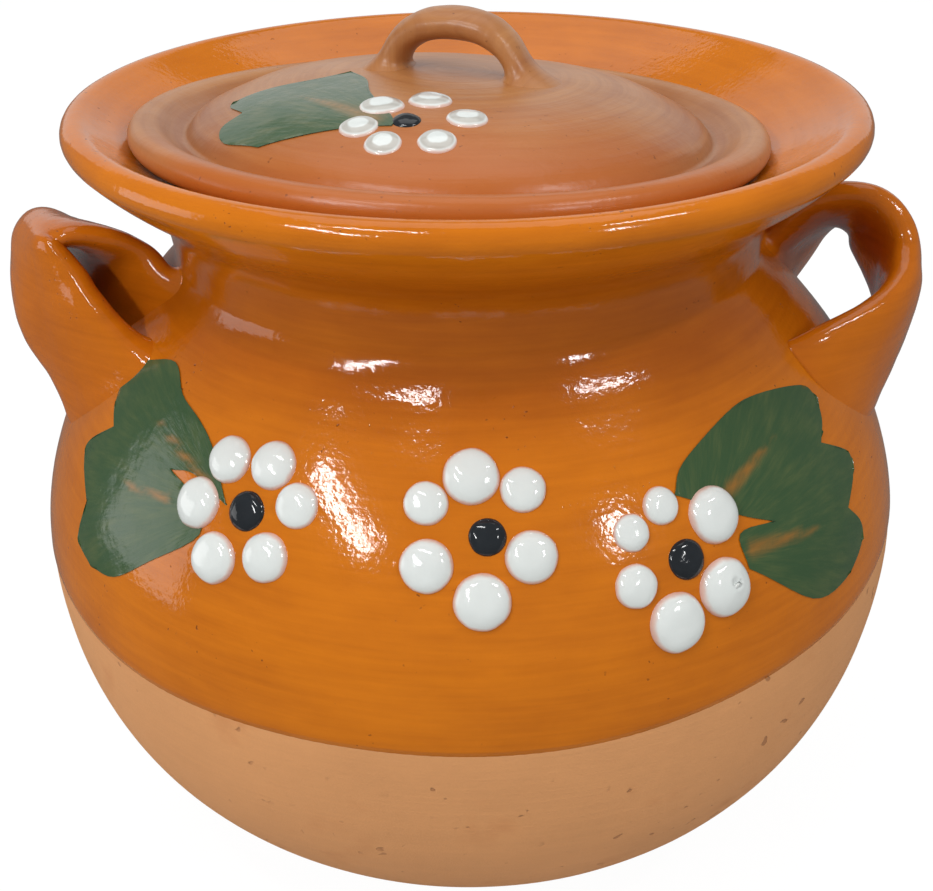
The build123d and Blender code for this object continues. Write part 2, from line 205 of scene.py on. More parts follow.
class Value:
    """A socket that varies over the surface. Sums on it add Math nodes."""

    def __init__(self, finish, socket):
        self.finish = finish
        self.socket = socket

    def maths(self, operation, *parts):
        return self.finish.node("ShaderNodeMath", {"operation": operation}, dict(enumerate(parts)))

    __add__ = __radd__ = sums("ADD")
    __sub__ = sums("SUBTRACT")
    __mul__ = __rmul__ = sums("MULTIPLY")
    __pow__ = sums("POWER")

    def __rsub__(self, other):
        return self.maths("SUBTRACT", other, self)

    def rise(self, low, high):
        """From 0 at low to 1 at high, with soft ends."""
        limits = {"Value": self, "From Min": low, "From Max": high}
        return self.finish.node(
            "ShaderNodeMapRange", {"interpolation_type": "SMOOTHSTEP"}, limits
        )


class Finish:
    """A material or a sky whose nodes are written as expressions."""

    def __init__(self, owner):
        self.owner = owner
        owner.use_nodes = True
        self.tree = owner.node_tree
        self.tree.nodes.clear()

    @property
    def place(self):
        """The object's own coordinates."""
        return self.node("ShaderNodeTexCoord", out="Object")

    def node(self, kind, settings=None, inputs=None, out=0):
        """A node of that type, with its settings first and then its sockets."""
        made = self.tree.nodes.new(kind)
        for key, setting in (settings or {}).items():
            setattr(made, key, setting)
        for key, value in (inputs or {}).items():
            if isinstance(value, Value):
                self.tree.links.new(value.socket, made.inputs[key])
            else:
                made.inputs[key].default_value = value
        return Value(self, made.outputs[out])

    def attribute(self, name, out="Fac"):
        return self.node("ShaderNodeAttribute", {"attribute_name": name}, out=out)

    def scaled(self, factors, place=None):
        """Coordinates with each axis multiplied by its own factor."""
        inputs = {0: place or self.place, 1: factors}
        return self.node("ShaderNodeVectorMath", {"operation": "MULTIPLY"}, inputs)

    def axes(self, place):
        """The x, y and z parts of a place."""
        return [self.node("ShaderNodeSeparateXYZ", None, {0: place}, out=name) for name in "XYZ"]

    def noise(self, scale, detail=2.0, roughness=0.5, place=None):
        inputs = {
            "Vector": place or self.place, "Scale": scale, "Detail": detail, "Roughness": roughness,
        }
        return self.node("ShaderNodeTexNoise", None, inputs)

    def mix(self, factor, low, high):
        inputs = {0: factor, 6: opaque(low), 7: opaque(high)}
        return self.node("ShaderNodeMix", {"data_type": "RGBA"}, inputs, out=2)

    def shade(self, colour_value, factor):
        """A colour made lighter or darker by a factor about 1."""
        inputs = {0: colour_value, "Scale": factor}
        return self.node("ShaderNodeVectorMath", {"operation": "SCALE"}, inputs)

    def near(self, point, reach):
        """1 at a point of the object, falling to 0 at that reach."""
        inputs = {0: self.place, 1: point}
        gap = self.node("ShaderNodeVectorMath", {"operation": "DISTANCE"}, inputs, out="Value")
        return 1 - gap.rise(0, reach)

    def relief(self, *layers):
        """Bumps laid over one another, each a pattern and its depth."""
        normal = None
        for pattern, depth in layers:
            inputs = {"Height": pattern, "Distance": depth, "Strength": 1.0}
            if normal:
                inputs["Normal"] = normal
            normal = self.node("ShaderNodeBump", None, inputs)
        return normal

    def either(self, factor, low, high):
        """One shader at a factor of 0, the other at 1."""
        return self.node("ShaderNodeMixShader", None, {0: factor, 1: low, 2: high})

    def surface(self, **sockets):
        inputs = {key.replace("_", " "): value for key, value in sockets.items()}
        return self.output(self.node("ShaderNodeBsdfPrincipled", None, inputs))

    def output(self, shader, kind="ShaderNodeOutputMaterial"):
        end = self.tree.nodes.new(kind)
        self.tree.links.new(shader.socket, end.inputs["Surface"])
        return self.owner


def material(name):
    return Finish(bpy.data.materials.new(name))


def opaque(value):
    return value if isinstance(value, Value) else (*value, 1.0)


GLAZE_IOR = 1.5
GLAZE_PEEL = 0.000064
STRAP_PEEL = 0.00008
BROWN_SPECK = srgb(96, 42, 12)
CLAY_STAIN = srgb(196, 122, 66)
CLAY_PIT = srgb(140, 84, 46)
PETAL_RING = srgb(176, 170, 160)
LID_SPECK = srgb(92, 44, 18)


def glazed(name, thin, deep, peel, painted_shade):
    """Clear glaze over brushed and wheel-marked clay, darkened by the painted shade that it is
    given.
    """
    finish = material(name)
    wheel = finish.noise(1.0, 4.0, 0.6, finish.scaled((26, 26, 620)))
    brush = finish.noise(1.0, 3.0, 0.6, finish.scaled((60, 60, 190)))
    cloud = finish.noise(21, 3.0, 0.55)
    # Mottling from cloud, brush and wheel noise, plus the painted shade; both darken the glaze
    # towards the deep colour.
    depth = cloud * 0.55 + brush * 0.35 + wheel * 0.45 - 0.30 + painted_shade(finish)
    mottled = finish.mix(depth.rise(0.0, 1.0), thin, deep)
    specks = finish.noise(820, 1.0).rise(0.72, 0.78) * finish.noise(60, 1.0).rise(0.52, 0.64)
    speckled = finish.mix(specks * 0.75, mottled, BROWN_SPECK)
    normal = finish.relief(
        (finish.noise(150), peel * 1.6), (finish.noise(720), peel), (wheel, peel * 0.45),
        (specks, -0.00005),
    )
    roughness = finish.noise(45) * 0.10 + 0.04
    return finish.surface(Base_Color=speckled, Roughness=roughness, Normal=normal, IOR=GLAZE_IOR)


def neck_shadow(finish):
    """Painted shade: darkens the glaze in the neck, which faces down under the lip's overhang."""
    height = finish.axes(finish.place)[2]
    return height.rise(0.150, 0.166) * (1 - height.rise(0.186, 0.197)) * 0.40


def hollow_shadow(finish):
    """Painted shade inside the straps' loops, partly also thicker glaze lying there."""
    left = finish.near((-0.094, -0.016, 0.158), 0.026)
    right = finish.near((0.096, 0.006, 0.164), 0.025)
    return (left + right) * 0.7


def bare_clay(name, clay):
    """Unglazed earthenware with fine grain, turning lines and small chips."""
    finish = material(name)
    cloud = finish.noise(24, 4.0, 0.6)
    lines = finish.noise(1.0, 3.0, 0.6, finish.scaled((22, 22, 760)))
    grain = finish.noise(1900, 2.0, 0.6)
    base = finish.shade(clay, 0.80 + cloud * 0.24 + lines * 0.08 + grain * 0.08)
    stain = finish.noise(46, 3.0, 0.6).rise(0.56, 0.78) * 0.42
    pits = finish.noise(300, 1.0).rise(0.70, 0.76) * finish.noise(60, 1.0).rise(0.46, 0.60)
    pitted = finish.mix(pits * 0.55, finish.mix(stain, base, CLAY_STAIN), CLAY_PIT)
    normal = finish.relief(
        (finish.noise(120, 3.0), 0.0003), (grain, 0.00008), (lines, 0.00012), (pits, -0.0003)
    )
    return finish.surface(Base_Color=pitted, Roughness=0.82, Normal=normal)


def enamel_white(name, settings, ring):
    """Thick white enamel, thin and blushed at its edges. A ring above 0 greys it half way."""
    finish = material(name)
    reach = finish.attribute("reach")
    patchy = finish.noise(260, 2.0, 0.6)
    edge = (reach + patchy * 0.16 - 0.08).rise(0.86, 1.0)
    base = finish.shade(settings.white[:], 0.93 + finish.noise(190) * 0.08)
    middle = (reach + patchy * 0.2 - 0.1).rise(0.44, 0.58) * (1 - reach.rise(0.78, 0.90)) * ring
    ringed = finish.mix(middle, base, PETAL_RING)
    return finish.surface(
        Base_Color=finish.mix(edge * 0.85, ringed, settings.blush[:]), Roughness=0.10,
        Normal=finish.relief((finish.noise(380), 0.00012)), IOR=GLAZE_IOR,
        Coat_Weight=0.5, Coat_Roughness=0.04,
    )


def enamel_blue(name, settings):
    """Blue-black enamel."""
    finish = material(name)
    base = finish.shade(settings.blue[:], 0.7 + finish.noise(300, 3.0) * 0.7)
    normal = finish.relief((finish.noise(420), 0.0001))
    return finish.surface(Base_Color=base, Roughness=0.08, Normal=normal, IOR=GLAZE_IOR)


def leaf_paint(name, green, thin_green, under, shown_most):
    """Green enamel in long brushed streaks, with the ground showing along the veins."""
    finish = material(name)
    stroke = finish.attribute("stroke", "Vector")
    streaks = finish.noise(1.0, 4.0, 0.65, finish.scaled((2.2, 26.0, 1.0), stroke))
    broad = finish.noise(1.0, 2.0, 0.5, finish.scaled((1.6, 7.0, 1.0), stroke))
    pale = (streaks * 0.7 + broad * 0.6 - 0.15).rise(0.35, 0.95)
    brushed = finish.mix(pale * 0.8, green, thin_green)
    shown = (finish.attribute("vein") + streaks * 0.5 - 0.25).rise(0.10, 1.15)
    painted = finish.mix(shown * shown_most, brushed, under)
    normal = finish.relief(
        (finish.noise(150), 0.0002), (finish.noise(620), 0.00005), (streaks, 0.00006)
    )
    return finish.surface(Base_Color=painted, Roughness=0.16, Normal=normal, IOR=GLAZE_IOR)


# Modelling helpers.


def deselect():
    if bpy.context.mode != "OBJECT":
        bpy.ops.object.mode_set(mode="OBJECT")
    bpy.ops.object.select_all(action="DESELECT")


def select(*objects):
    deselect()
    for item in objects:
        item.select_set(True)
    bpy.context.view_layer.objects.active = objects[0]


def in_edit():
    bpy.ops.object.mode_set(mode="EDIT")


def in_object():
    bpy.ops.object.mode_set(mode="OBJECT")


def add_modifier(piece, kind, **settings):
    """Adds a modifier and applies it."""
    select(piece)
    made = piece.modifiers.new(kind, kind)
    for key, setting in settings.items():
        setattr(made, key, setting)
    bpy.ops.object.modifier_apply(modifier=made.name)


def edit_all():
    """Opens the active piece with all of it selected."""
    in_edit()
    bpy.ops.mesh.select_all(action="SELECT")


def face_outwards():
    """Turns the faces outwards and leaves edit mode."""
    bpy.ops.mesh.select_all(action="SELECT")
    bpy.ops.mesh.normals_make_consistent(inside=False)
    in_object()


def lathe(name, outline, steps):
    """Turns an outline of (radius, height) points about the upright axis."""
    deselect()
    first = outline[0]
    bpy.ops.mesh.primitive_plane_add(size=MM, location=(first.x, 0, first.y))
    piece = bpy.context.active_object
    piece.name = name
    edit_all()
    bpy.ops.mesh.merge(type="CENTER")
    for before, after in zip(outline, outline[1:]):
        move = (after.x - before.x, 0, after.y - before.y)
        bpy.ops.mesh.extrude_region_move(TRANSFORM_OT_translate={"value": move})
    bpy.ops.mesh.select_all(action="SELECT")
    bpy.ops.mesh.spin(steps=steps, angle=math.tau, center=(0, 0, 0), axis=(0, 0, 1))
    in_object()
    bpy.ops.object.transform_apply(location=True, rotation=True, scale=True)
    select(piece)
    edit_all()
    bpy.ops.mesh.remove_doubles(threshold=MERGE_GAP)
    face_outwards()
    bpy.ops.object.shade_smooth()
    return piece


def sweep(name, rings):
    """Skins a row of rings of points by extruding a circle from each to the next."""
    deselect()
    count = len(rings[0])
    bpy.ops.mesh.primitive_circle_add(vertices=count, radius=MM)
    piece = bpy.context.active_object
    piece.name = name
    mesh = piece.data
    for vertex, point in zip(mesh.vertices, rings[0]):
        vertex.co = point
    for ring in rings[1:]:
        in_edit()
        bpy.ops.mesh.extrude_region_move(TRANSFORM_OT_translate={"value": (0, 0, MM)})
        in_object()
        for vertex, point in zip(mesh.vertices[-count:], ring):
            vertex.co = point
    bpy.ops.object.shade_smooth()
    return piece


def close_ends(piece):
    """Fills the open ends and turns the faces outwards."""
    select(piece)
    in_edit()
    bpy.ops.mesh.select_all(action="DESELECT")
    bpy.ops.mesh.select_non_manifold()
    bpy.ops.mesh.fill_holes(sides=0)
    face_outwards()


def finished(piece, body, material, slot, *nodes):
    """Gives a piece its finish and its body, and hides the imported parts of the nodes that it
    stands for.
    """
    piece.data.materials.clear()
    piece.data.materials.append(material)
    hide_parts(*nodes)
    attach(piece, body)
    return piece


def tree_of(piece):
    """A search tree of a piece's faces, in the shared frame."""
    bpy.context.view_layer.update()
    return BVHTree.FromObject(piece, bpy.context.evaluated_depsgraph_get())


# The pot's outline.


def polar(radius, radians):
    return Vector((radius * math.cos(radians), radius * math.sin(radians)))


def level(azimuth):
    """The level direction at an azimuth."""
    return Vector((*polar(1, azimuth), 0))


def axes_matrix(across, up, out, place):
    matrix = Matrix((across, up, out)).transposed().to_4x4()
    matrix.translation = place
    return matrix


def bezier(start, start_arm, end_arm, end, count):
    """Points along a curve, after its first one."""
    points = []
    for step in range(1, count + 1):
        after = step / count
        before = 1 - after
        points.append(
            start * before ** 3
            + (start + start_arm) * 3 * after * before ** 2
            + (end + end_arm) * 3 * before * after ** 2
            + end * after ** 3
        )
    return points


def arc(centre, radius, start, end, count):
    return [
        centre + polar(radius, start + (end - start) * step / count) for step in range(1, count + 1)
    ]


FOOT_FULLNESS = 0.041
BELLY_LOW_FULLNESS = 0.0495
BELLY_HIGH_FULLNESS = 0.047
NECK_LOW_FULLNESS = 0.0085
NECK_HIGH_FULLNESS = 0.019
LIP_FULLNESS = 0.020
THROAT_FULLNESS = 0.005
BOWL_STEPS, SHOULDER_STEPS, FLARE_STEPS, ROLL_STEPS = 56, 44, 22, 12
SEAT_STEPS, INNER_STEPS = 14, 30


class PotForm:
    """The pot's outline, worked out from its settings."""

    def __init__(self, settings):
        self.s = settings
        self.foot = Vector((settings.foot_radius, 0))
        self.belly = Vector((settings.belly_radius, settings.belly_height))
        self.neck = Vector((settings.neck_radius, settings.neck_height))
        reach = settings.seat_radius + settings.film + settings.lip_roll
        lip_radius = settings.rim_radius - settings.lip_roll
        drop = math.sqrt(reach ** 2 - lip_radius ** 2)
        self.lip = Vector((lip_radius, settings.seat_height - drop))
        self.seat_centre = Vector((0, settings.seat_height))
        self.flare_way = polar(1, settings.flare)
        self.flare_out = polar(1, settings.flare - math.pi / 2)
        self.lip_low = self.lip + self.flare_out * settings.lip_roll
        self.to_seat = (self.seat_centre - self.lip).normalized()

    def bowl(self, offset, count):
        foot_out = polar(1, self.s.foot_rise - math.pi / 2)
        start = self.foot + foot_out * offset
        end = self.belly + OUT * offset
        grow = (end - start).length / (self.belly - self.foot).length
        arm = polar(FOOT_FULLNESS * grow, self.s.foot_rise)
        return [start] + bezier(start, arm, -UP * BELLY_LOW_FULLNESS * grow, end, count)

    def shoulder(self, offset, count):
        start = self.belly + OUT * offset
        end = self.neck + OUT * offset
        return bezier(start, UP * BELLY_HIGH_FULLNESS, -UP * NECK_LOW_FULLNESS, end, count)

    def flare(self, offset):
        start = self.neck + OUT * offset
        end = self.lip_low + self.flare_out * offset
        return bezier(
            start, UP * NECK_HIGH_FULLNESS, -self.flare_way * LIP_FULLNESS, end, FLARE_STEPS
        )

    def roll(self, offset):
        start = self.s.flare - math.pi / 2
        end = math.atan2(self.to_seat.y, self.to_seat.x)
        return arc(self.lip, self.s.lip_roll + offset, start, end, ROLL_STEPS)

    def seat(self, offset):
        """From the lip down to the throat, inside the mouth."""
        reach = self.s.seat_radius + self.s.film - offset
        outer = (self.lip + self.to_seat * (self.s.lip_roll + offset)).x
        points = []
        for step in range(1, SEAT_STEPS + 1):
            radius = outer + (self.s.seat_edge - outer) * step / SEAT_STEPS
            points.append(
                Vector((radius, self.s.seat_height - math.sqrt(reach ** 2 - radius ** 2)))
            )
        edge = points[-1]
        inward = Vector((edge.y - self.s.seat_height, -edge.x)).normalized()
        neck = self.neck - OUT * (self.s.wall + offset)
        arm = inward * THROAT_FULLNESS
        return points + bezier(edge, arm, UP * 2 * THROAT_FULLNESS, neck, SEAT_STEPS)

    def inside(self, offset):
        """From the lip down inside the pot to the middle of its floor."""
        depth = -self.s.wall - offset
        shoulder = self.shoulder(depth, INNER_STEPS)[::-1]
        bowl = self.bowl(depth, INNER_STEPS)[::-1]
        return self.seat(offset) + shoulder[1:] + bowl + [Vector((0, bowl[-1].y))]

    def outer(self, offset):
        wall = self.bowl(offset, BOWL_STEPS) + self.shoulder(offset, SHOULDER_STEPS)
        return wall + self.flare(offset) + self.roll(offset)


TURN_STEPS = 224
GLAZE_TURN_STEPS = 256
SHOULDER_RIDGE = 0.1615
RIDGE_WIDTH = 0.0022


RIDGE_SHARE = 0.4
RINGS_SHARE = 0.05
LUMPS_SHARE = 0.14
CALM_RADIUS = 0.04
DIP_SLOPES = (0.035, 0.058)
DIP_WAVES = [(0.0006, 3, 0.6), (0.0005, 7, 2.0)]
DIP_MARGIN = 0.022
SLIDE_MARGIN = 0.03
COAT_SHARE = 0.7
COAT_THICKNESS = 1.3
EDGE_HEIGHT = 0.0016
EDGE_THINNING = 1.15


def stray(point, across, up, shift=0):
    """Noise at a point, finer across or up the pot for larger numbers."""
    return noise.noise(Vector((point.x * across, point.y * across, point.z * up + shift)))


def throw(piece, wobble):
    """Moves the wall to where a hand throws it: a slow wander, rings, a ridge and lumps."""
    for vertex in piece.data.vertices:
        point = vertex.co
        radius = math.hypot(point.x, point.y)
        if radius < MM:
            continue
        ridge = math.exp(-((point.z - SHOULDER_RIDGE) / RIDGE_WIDTH) ** 2) * RIDGE_SHARE
        rings = stray(point, 4, 150, 7) * RINGS_SHARE
        lumps = stray(point, 42, 60, 3) * LUMPS_SHARE
        moved = wobble * (stray(point, 9, 11) + rings + lumps + ridge)
        moved *= min(1, radius / CALM_RADIUS) / radius
        vertex.co = point + Vector((point.x, point.y, 0)) * moved


def dip_line(height, flat):
    """Height of the line that the pot was dipped to, over a point of the floor."""
    around = math.atan2(flat.y, flat.x)
    waves = sum(size * math.sin(count * around + start) for size, count, start in DIP_WAVES)
    return height + DIP_SLOPES[0] * flat.x + DIP_SLOPES[1] * flat.y + waves


class CLAYPOT_OT_pot(bpy.types.Operator):
    """Throw the pot: foot, belly, neck, lip and hollow"""

    bl_idname = "claypot.pot"
    bl_label = "Pot"

    def execute(self, context):
        settings = context.scene.claypot_pot
        form = PotForm(settings)
        outline = [Vector((0, 0))] + form.outer(0) + form.inside(0)
        piece = lathe("clay_pot", outline, TURN_STEPS)
        throw(piece, settings.wobble)
        finished(piece, "pot", bare_clay("bare_clay", settings.clay[:]), "bare_clay", "pot_body")
        return {"FINISHED"}


class CLAYPOT_OT_glaze(bpy.types.Operator):
    """Pour the clear glaze over the pot, down to its dip line, and inside"""

    bl_idname = "claypot.glaze"
    bl_label = "Glaze"

    def execute(self, context):
        settings = context.scene.claypot_pot
        form = PotForm(settings)
        film = settings.film * COAT_SHARE
        lowest = settings.dip_height - DIP_MARGIN
        above = [point for point in form.outer(film) if point.y > lowest]
        piece = lathe("clear_glaze", above + form.inside(film), GLAZE_TURN_STEPS)
        self.fit_to_dip(piece, form, film)
        throw(piece, settings.wobble)
        add_modifier(piece, "SOLIDIFY", thickness=film * COAT_THICKNESS, offset=-1)
        bpy.ops.object.shade_smooth()
        glaze = glazed(
            "amber_glaze", settings.glaze[:], settings.deep[:], GLAZE_PEEL, neck_shadow
        )
        finished(piece, "pot", glaze, "amber_glaze", "glaze_coat")
        return {"FINISHED"}

    def fit_to_dip(self, piece, form, film):
        """Slides the low rows of the coat up to the dip line and thins its edge away."""
        outline = form.outer(film)
        bare = form.outer(-form.s.wall / 2)
        high = form.s.neck_height - SLIDE_MARGIN
        dip_height = round(form.s.dip_height, 6)
        rows = [
            (vertex, Vector(vertex.co.xy)) for vertex in piece.data.vertices
            if vertex.co.z < high and vertex.co.xy.length > radius_at(bare, vertex.co.z)
        ]
        low = min(vertex.co.z for vertex, _ in rows)
        for vertex, flat in rows:
            line = dip_line(dip_height, flat)
            height = line + (vertex.co.z - low) * (high - line) / (high - low)
            thin = 1 - min(1, (height - line) / EDGE_HEIGHT)
            radius = radius_at(outline, height) - film * EDGE_THINNING * thin ** 2
            vertex.co = (*(flat.normalized() * radius), height)


def radius_at(outline, height):
    """Radius of an outline at a height, between its belly-side points."""
    for before, after in zip(outline, outline[1:]):
        if before.y <= height <= after.y and after.y > before.y:
            return before.x + (after.x - before.x) * (height - before.y) / (after.y - before.y)
    return outline[-1].x


# Straps and loops.

RIGHT_STRAP_SHARES = [
    (-0.30, 0.52, 14, -52, 1.24, 0.80),
    (0.02, 0.65, 12, -52, 1.22, 0.80),
    (0.30, 0.79, 9, -46, 1.10, 0.80),
    (0.56, 0.92, 6, -40, 1.00, 0.82),
    (0.78, 0.92, 3, -25, 0.94, 0.86),
    (0.78, 0.76, -1, -9, 0.94, 0.90),
    (0.58, 0.61, -6, 20, 1.04, 0.90),
    (0.32, 0.51, -12, 44, 1.10, 0.88),
    (0.05, 0.43, -18, 56, 1.14, 0.84),
    (-0.18, 0.35, -24, 60, 1.14, 0.80),
]
LEFT_STRAP_SHARES = [
    (-0.45, 0.24, 3, 52, 1.20, 0.80),
    (-0.13, 0.36, 2, 52, 1.22, 0.80),
    (0.25, 0.55, 0, 50, 1.20, 0.80),
    (0.58, 0.79, -2, 40, 1.10, 0.76),
    (0.87, 1.01, -2, 18, 1.00, 0.68),
    (1.07, 0.99, -1, -12, 1.00, 0.66),
    (1.05, 0.77, 1, -32, 1.08, 0.72),
    (0.69, 0.50, 4, -43, 1.14, 0.80),
    (0.25, 0.24, 8, -44, 1.12, 0.84),
    (-0.11, 0.00, 11, -44, 1.08, 0.86),
    (-0.36, -0.19, 14, -42, 1.05, 0.85),
]
LOOP_SHARES = [
    (-1.38, -0.50, 1.05, 1.05),
    (-1.18, -0.14, 1.00, 0.92),
    (-1.03, 0.22, 0.92, 0.84),
    (-0.84, 0.64, 0.92, 0.86),
    (-0.50, 0.94, 0.98, 0.92),
    (0.00, 1.04, 1.00, 0.94),
    (0.50, 0.94, 0.95, 0.88),
    (0.86, 0.62, 0.88, 0.80),
    (1.06, 0.22, 0.84, 0.76),
    (1.26, -0.12, 0.90, 0.84),
    (1.52, -0.42, 1.00, 1.00),
]
SECTION_POINTS = 20
STATION_STEPS = 3
ROOT_SHARES = (0.30, 0.55, 0.76, 0.90, 1.00)
STRAP_SQUARE, LOOP_SQUARE = 2.7, 2.2
STRAP_SINK, LOOP_SINK = 0.0004, 0.0003
LOOP_FLARE = 0.0022
LOOP_SHIFT = Vector((0.001, -0.002, 0))
LOOP_FREE = (8, 22)
CLAY_LUMPS = [(70, 0.00035), (217, 0.00012)]

# Each strap, with the first and the last section that stand free of the pot.
STRAPS = [("right", RIGHT_STRAP_SHARES, (7, 18)), ("left", LEFT_STRAP_SHARES, (7, 23))]


def section(centre, way, side, turn, width, thickness, square):
    """Points round a flat strap's section. A square of 2 is an ellipse, more is boxier."""
    across = (side - way * side.dot(way)).normalized()
    across = Matrix.Rotation(turn, 3, way) @ across
    through = way.cross(across)
    points = []
    for step in range(SECTION_POINTS):
        around = math.tau * step / SECTION_POINTS
        cosine, sine = math.cos(around), math.sin(around)
        x = math.copysign(abs(cosine) ** (2 / square), cosine) * width / 2
        y = math.copysign(abs(sine) ** (2 / square), sine) * thickness / 2
        points.append(centre + across * x + through * y)
    return points


def spline(points, count):
    """A smooth run through points of any size, with that many steps a span."""
    made = []
    padded = [points[0] * 2 - points[1], *points, points[-1] * 2 - points[-2]]
    for a, b, c, d in zip(padded, padded[1:], padded[2:], padded[3:]):
        for step in range(count):
            t = step / count
            made.append(
                (b * 2 + (c - a) * t + (a * 2 - b * 5 + c * 4 - d) * t ** 2
                 + (b * 3 - a - c * 3 + d) * t ** 3) / 2
            )
    return made + [points[-1]]


def ways_along(centres):
    ways = [centres[1] - centres[0]]
    ways += [after - before for before, after in zip(centres, centres[2:])]
    ways.append(centres[-1] - centres[-2])
    return [way.normalized() for way in ways]


def rooted(rings, tree, free, flare, sink):
    """Replaces what follows the free ring by rings that spread onto the face in the tree."""
    kept = rings[:free + 1]
    tails = [[ring[place] for ring in rings[free:]] for place in range(SECTION_POINTS)]
    paths = [path_to_face(tail, tree) for tail in tails]
    for fraction in ROOT_SHARES:
        ring = [point_along(path, fraction) for path in paths]
        middle = sum(ring, Vector()) / len(ring)
        spread = []
        for point in ring:
            normal = tree.find_nearest(point)[1]
            away = point - middle
            away -= normal * away.dot(normal)
            moved = point + away.normalized() * flare * fraction ** 4
            if fraction == ROOT_SHARES[-1]:
                place, normal, _, _ = tree.find_nearest(moved)
                moved = place - normal * sink
            spread.append(moved)
        kept.append(spread)
    return kept


def path_to_face(points, tree):
    """The run of points up to where it first meets the face in the tree."""
    path = [points[0]]
    for before, after in zip(points, points[1:]):
        step = after - before
        hit = tree.ray_cast(before, step.normalized(), step.length)
        if hit[0]:
            return path + [hit[0]]
        path.append(after)
    return path[:-1] + [tree.find_nearest(path[-1])[0]]


def point_along(path, fraction):
    lengths = [(after - before).length for before, after in zip(path, path[1:])]
    left = sum(lengths) * fraction
    for before, after, step in zip(path, path[1:], lengths):
        if left <= step or after is path[-1]:
            return before.lerp(after, min(1, left / step) if step else 1)
        left -= step
    return path[-1]


def clay_band(name, rings, tree, flare, sink, stand_free):
    """A pulled strap of clay, spread at both ends onto what carries it."""
    first, last = stand_free
    free = rings[first:last + 1]
    low = rooted(rings[first:], tree, last - first, flare, sink)[len(free):]
    top = rooted(rings[:first + 1][::-1], tree, 0, flare, sink)[1:]
    piece = sweep(name, top[::-1] + free + low)
    add_modifier(piece, "SUBSURF", levels=2, render_levels=2)
    close_ends(piece)
    for vertex in piece.data.vertices:
        lump = sum(noise.noise(vertex.co * fine) * height for fine, height in CLAY_LUMPS)
        vertex.co += vertex.normal * lump
    select(piece)
    bpy.ops.object.shade_smooth()
    return piece


class CLAYPOT_OT_handles(bpy.types.Operator):
    """Pull the two strap handles and lute them onto the pot"""

    bl_idname = "claypot.handles"
    bl_label = "Handles"

    def execute(self, context):
        straps = context.scene.claypot_handles
        pot = context.scene.claypot_pot
        outline = PotForm(pot).outer(0)
        tree = tree_of(bpy.data.objects["clear_glaze"])
        glaze = glazed("handle_glaze", straps.glaze[:], pot.deep[:], STRAP_PEEL, hollow_shadow)
        for side, shares, stand_free in STRAPS:
            rings = self.rings(straps, side, shares, outline)
            piece = clay_band(side + "_strap", rings, tree, straps.flare, STRAP_SINK, stand_free)
            finished(piece, "pot", glaze, "glazed_handle", side + "_handle")
        return {"FINISHED"}

    def rings(self, straps, side, shares, outline):
        """A section at every step of the spline through the strap's stations."""
        azimuth, stand_off, low, top = (
            getattr(straps, f"{side}_{name}") for name in ("azimuth", "stand_off", "low", "top")
        )
        rows = []
        for out_share, up_share, swing, turn, width, thickness in shares:
            height = low + up_share * (top - low)
            turned = azimuth + math.radians(swing)
            flat = polar(radius_at(outline, height) + out_share * stand_off, turned)
            sizes = (straps.width * width, straps.thickness * thickness)
            rows.append(Vector((*flat, height, turned, math.radians(turn), *sizes)))
        rows = spline(rows, STATION_STEPS)
        centres = [Vector(row[:3]) for row in rows]
        return [
            section(centre, way, level(row[3] + math.pi / 2), *row[4:], STRAP_SQUARE)
            for centre, way, row in zip(centres, ways_along(centres), rows)
        ]


# The lid.

DOME_KNEE_SHARES = (0.80, 0.40)
DOME_FOOT_ANGLE = math.radians(118)
DOME_KNEE_ANGLE = math.radians(156)
DOME_ARM_SHARES = (0.08, 0.14, 0.14, 0.40)
LID_CLEARANCE = 0.0003
BRIM_STEPS, DOME_STEPS, UNDER_STEPS = 12, 14, 10
BRIM_SAG = 0.3
LID_RINGS_FINE, LID_RINGS_DEPTH = 210, 0.00016
LID_LUMPS_FINE, LID_LUMPS_DEPTH = 34, 0.0005
LID_CALM_WIDTH = 0.006


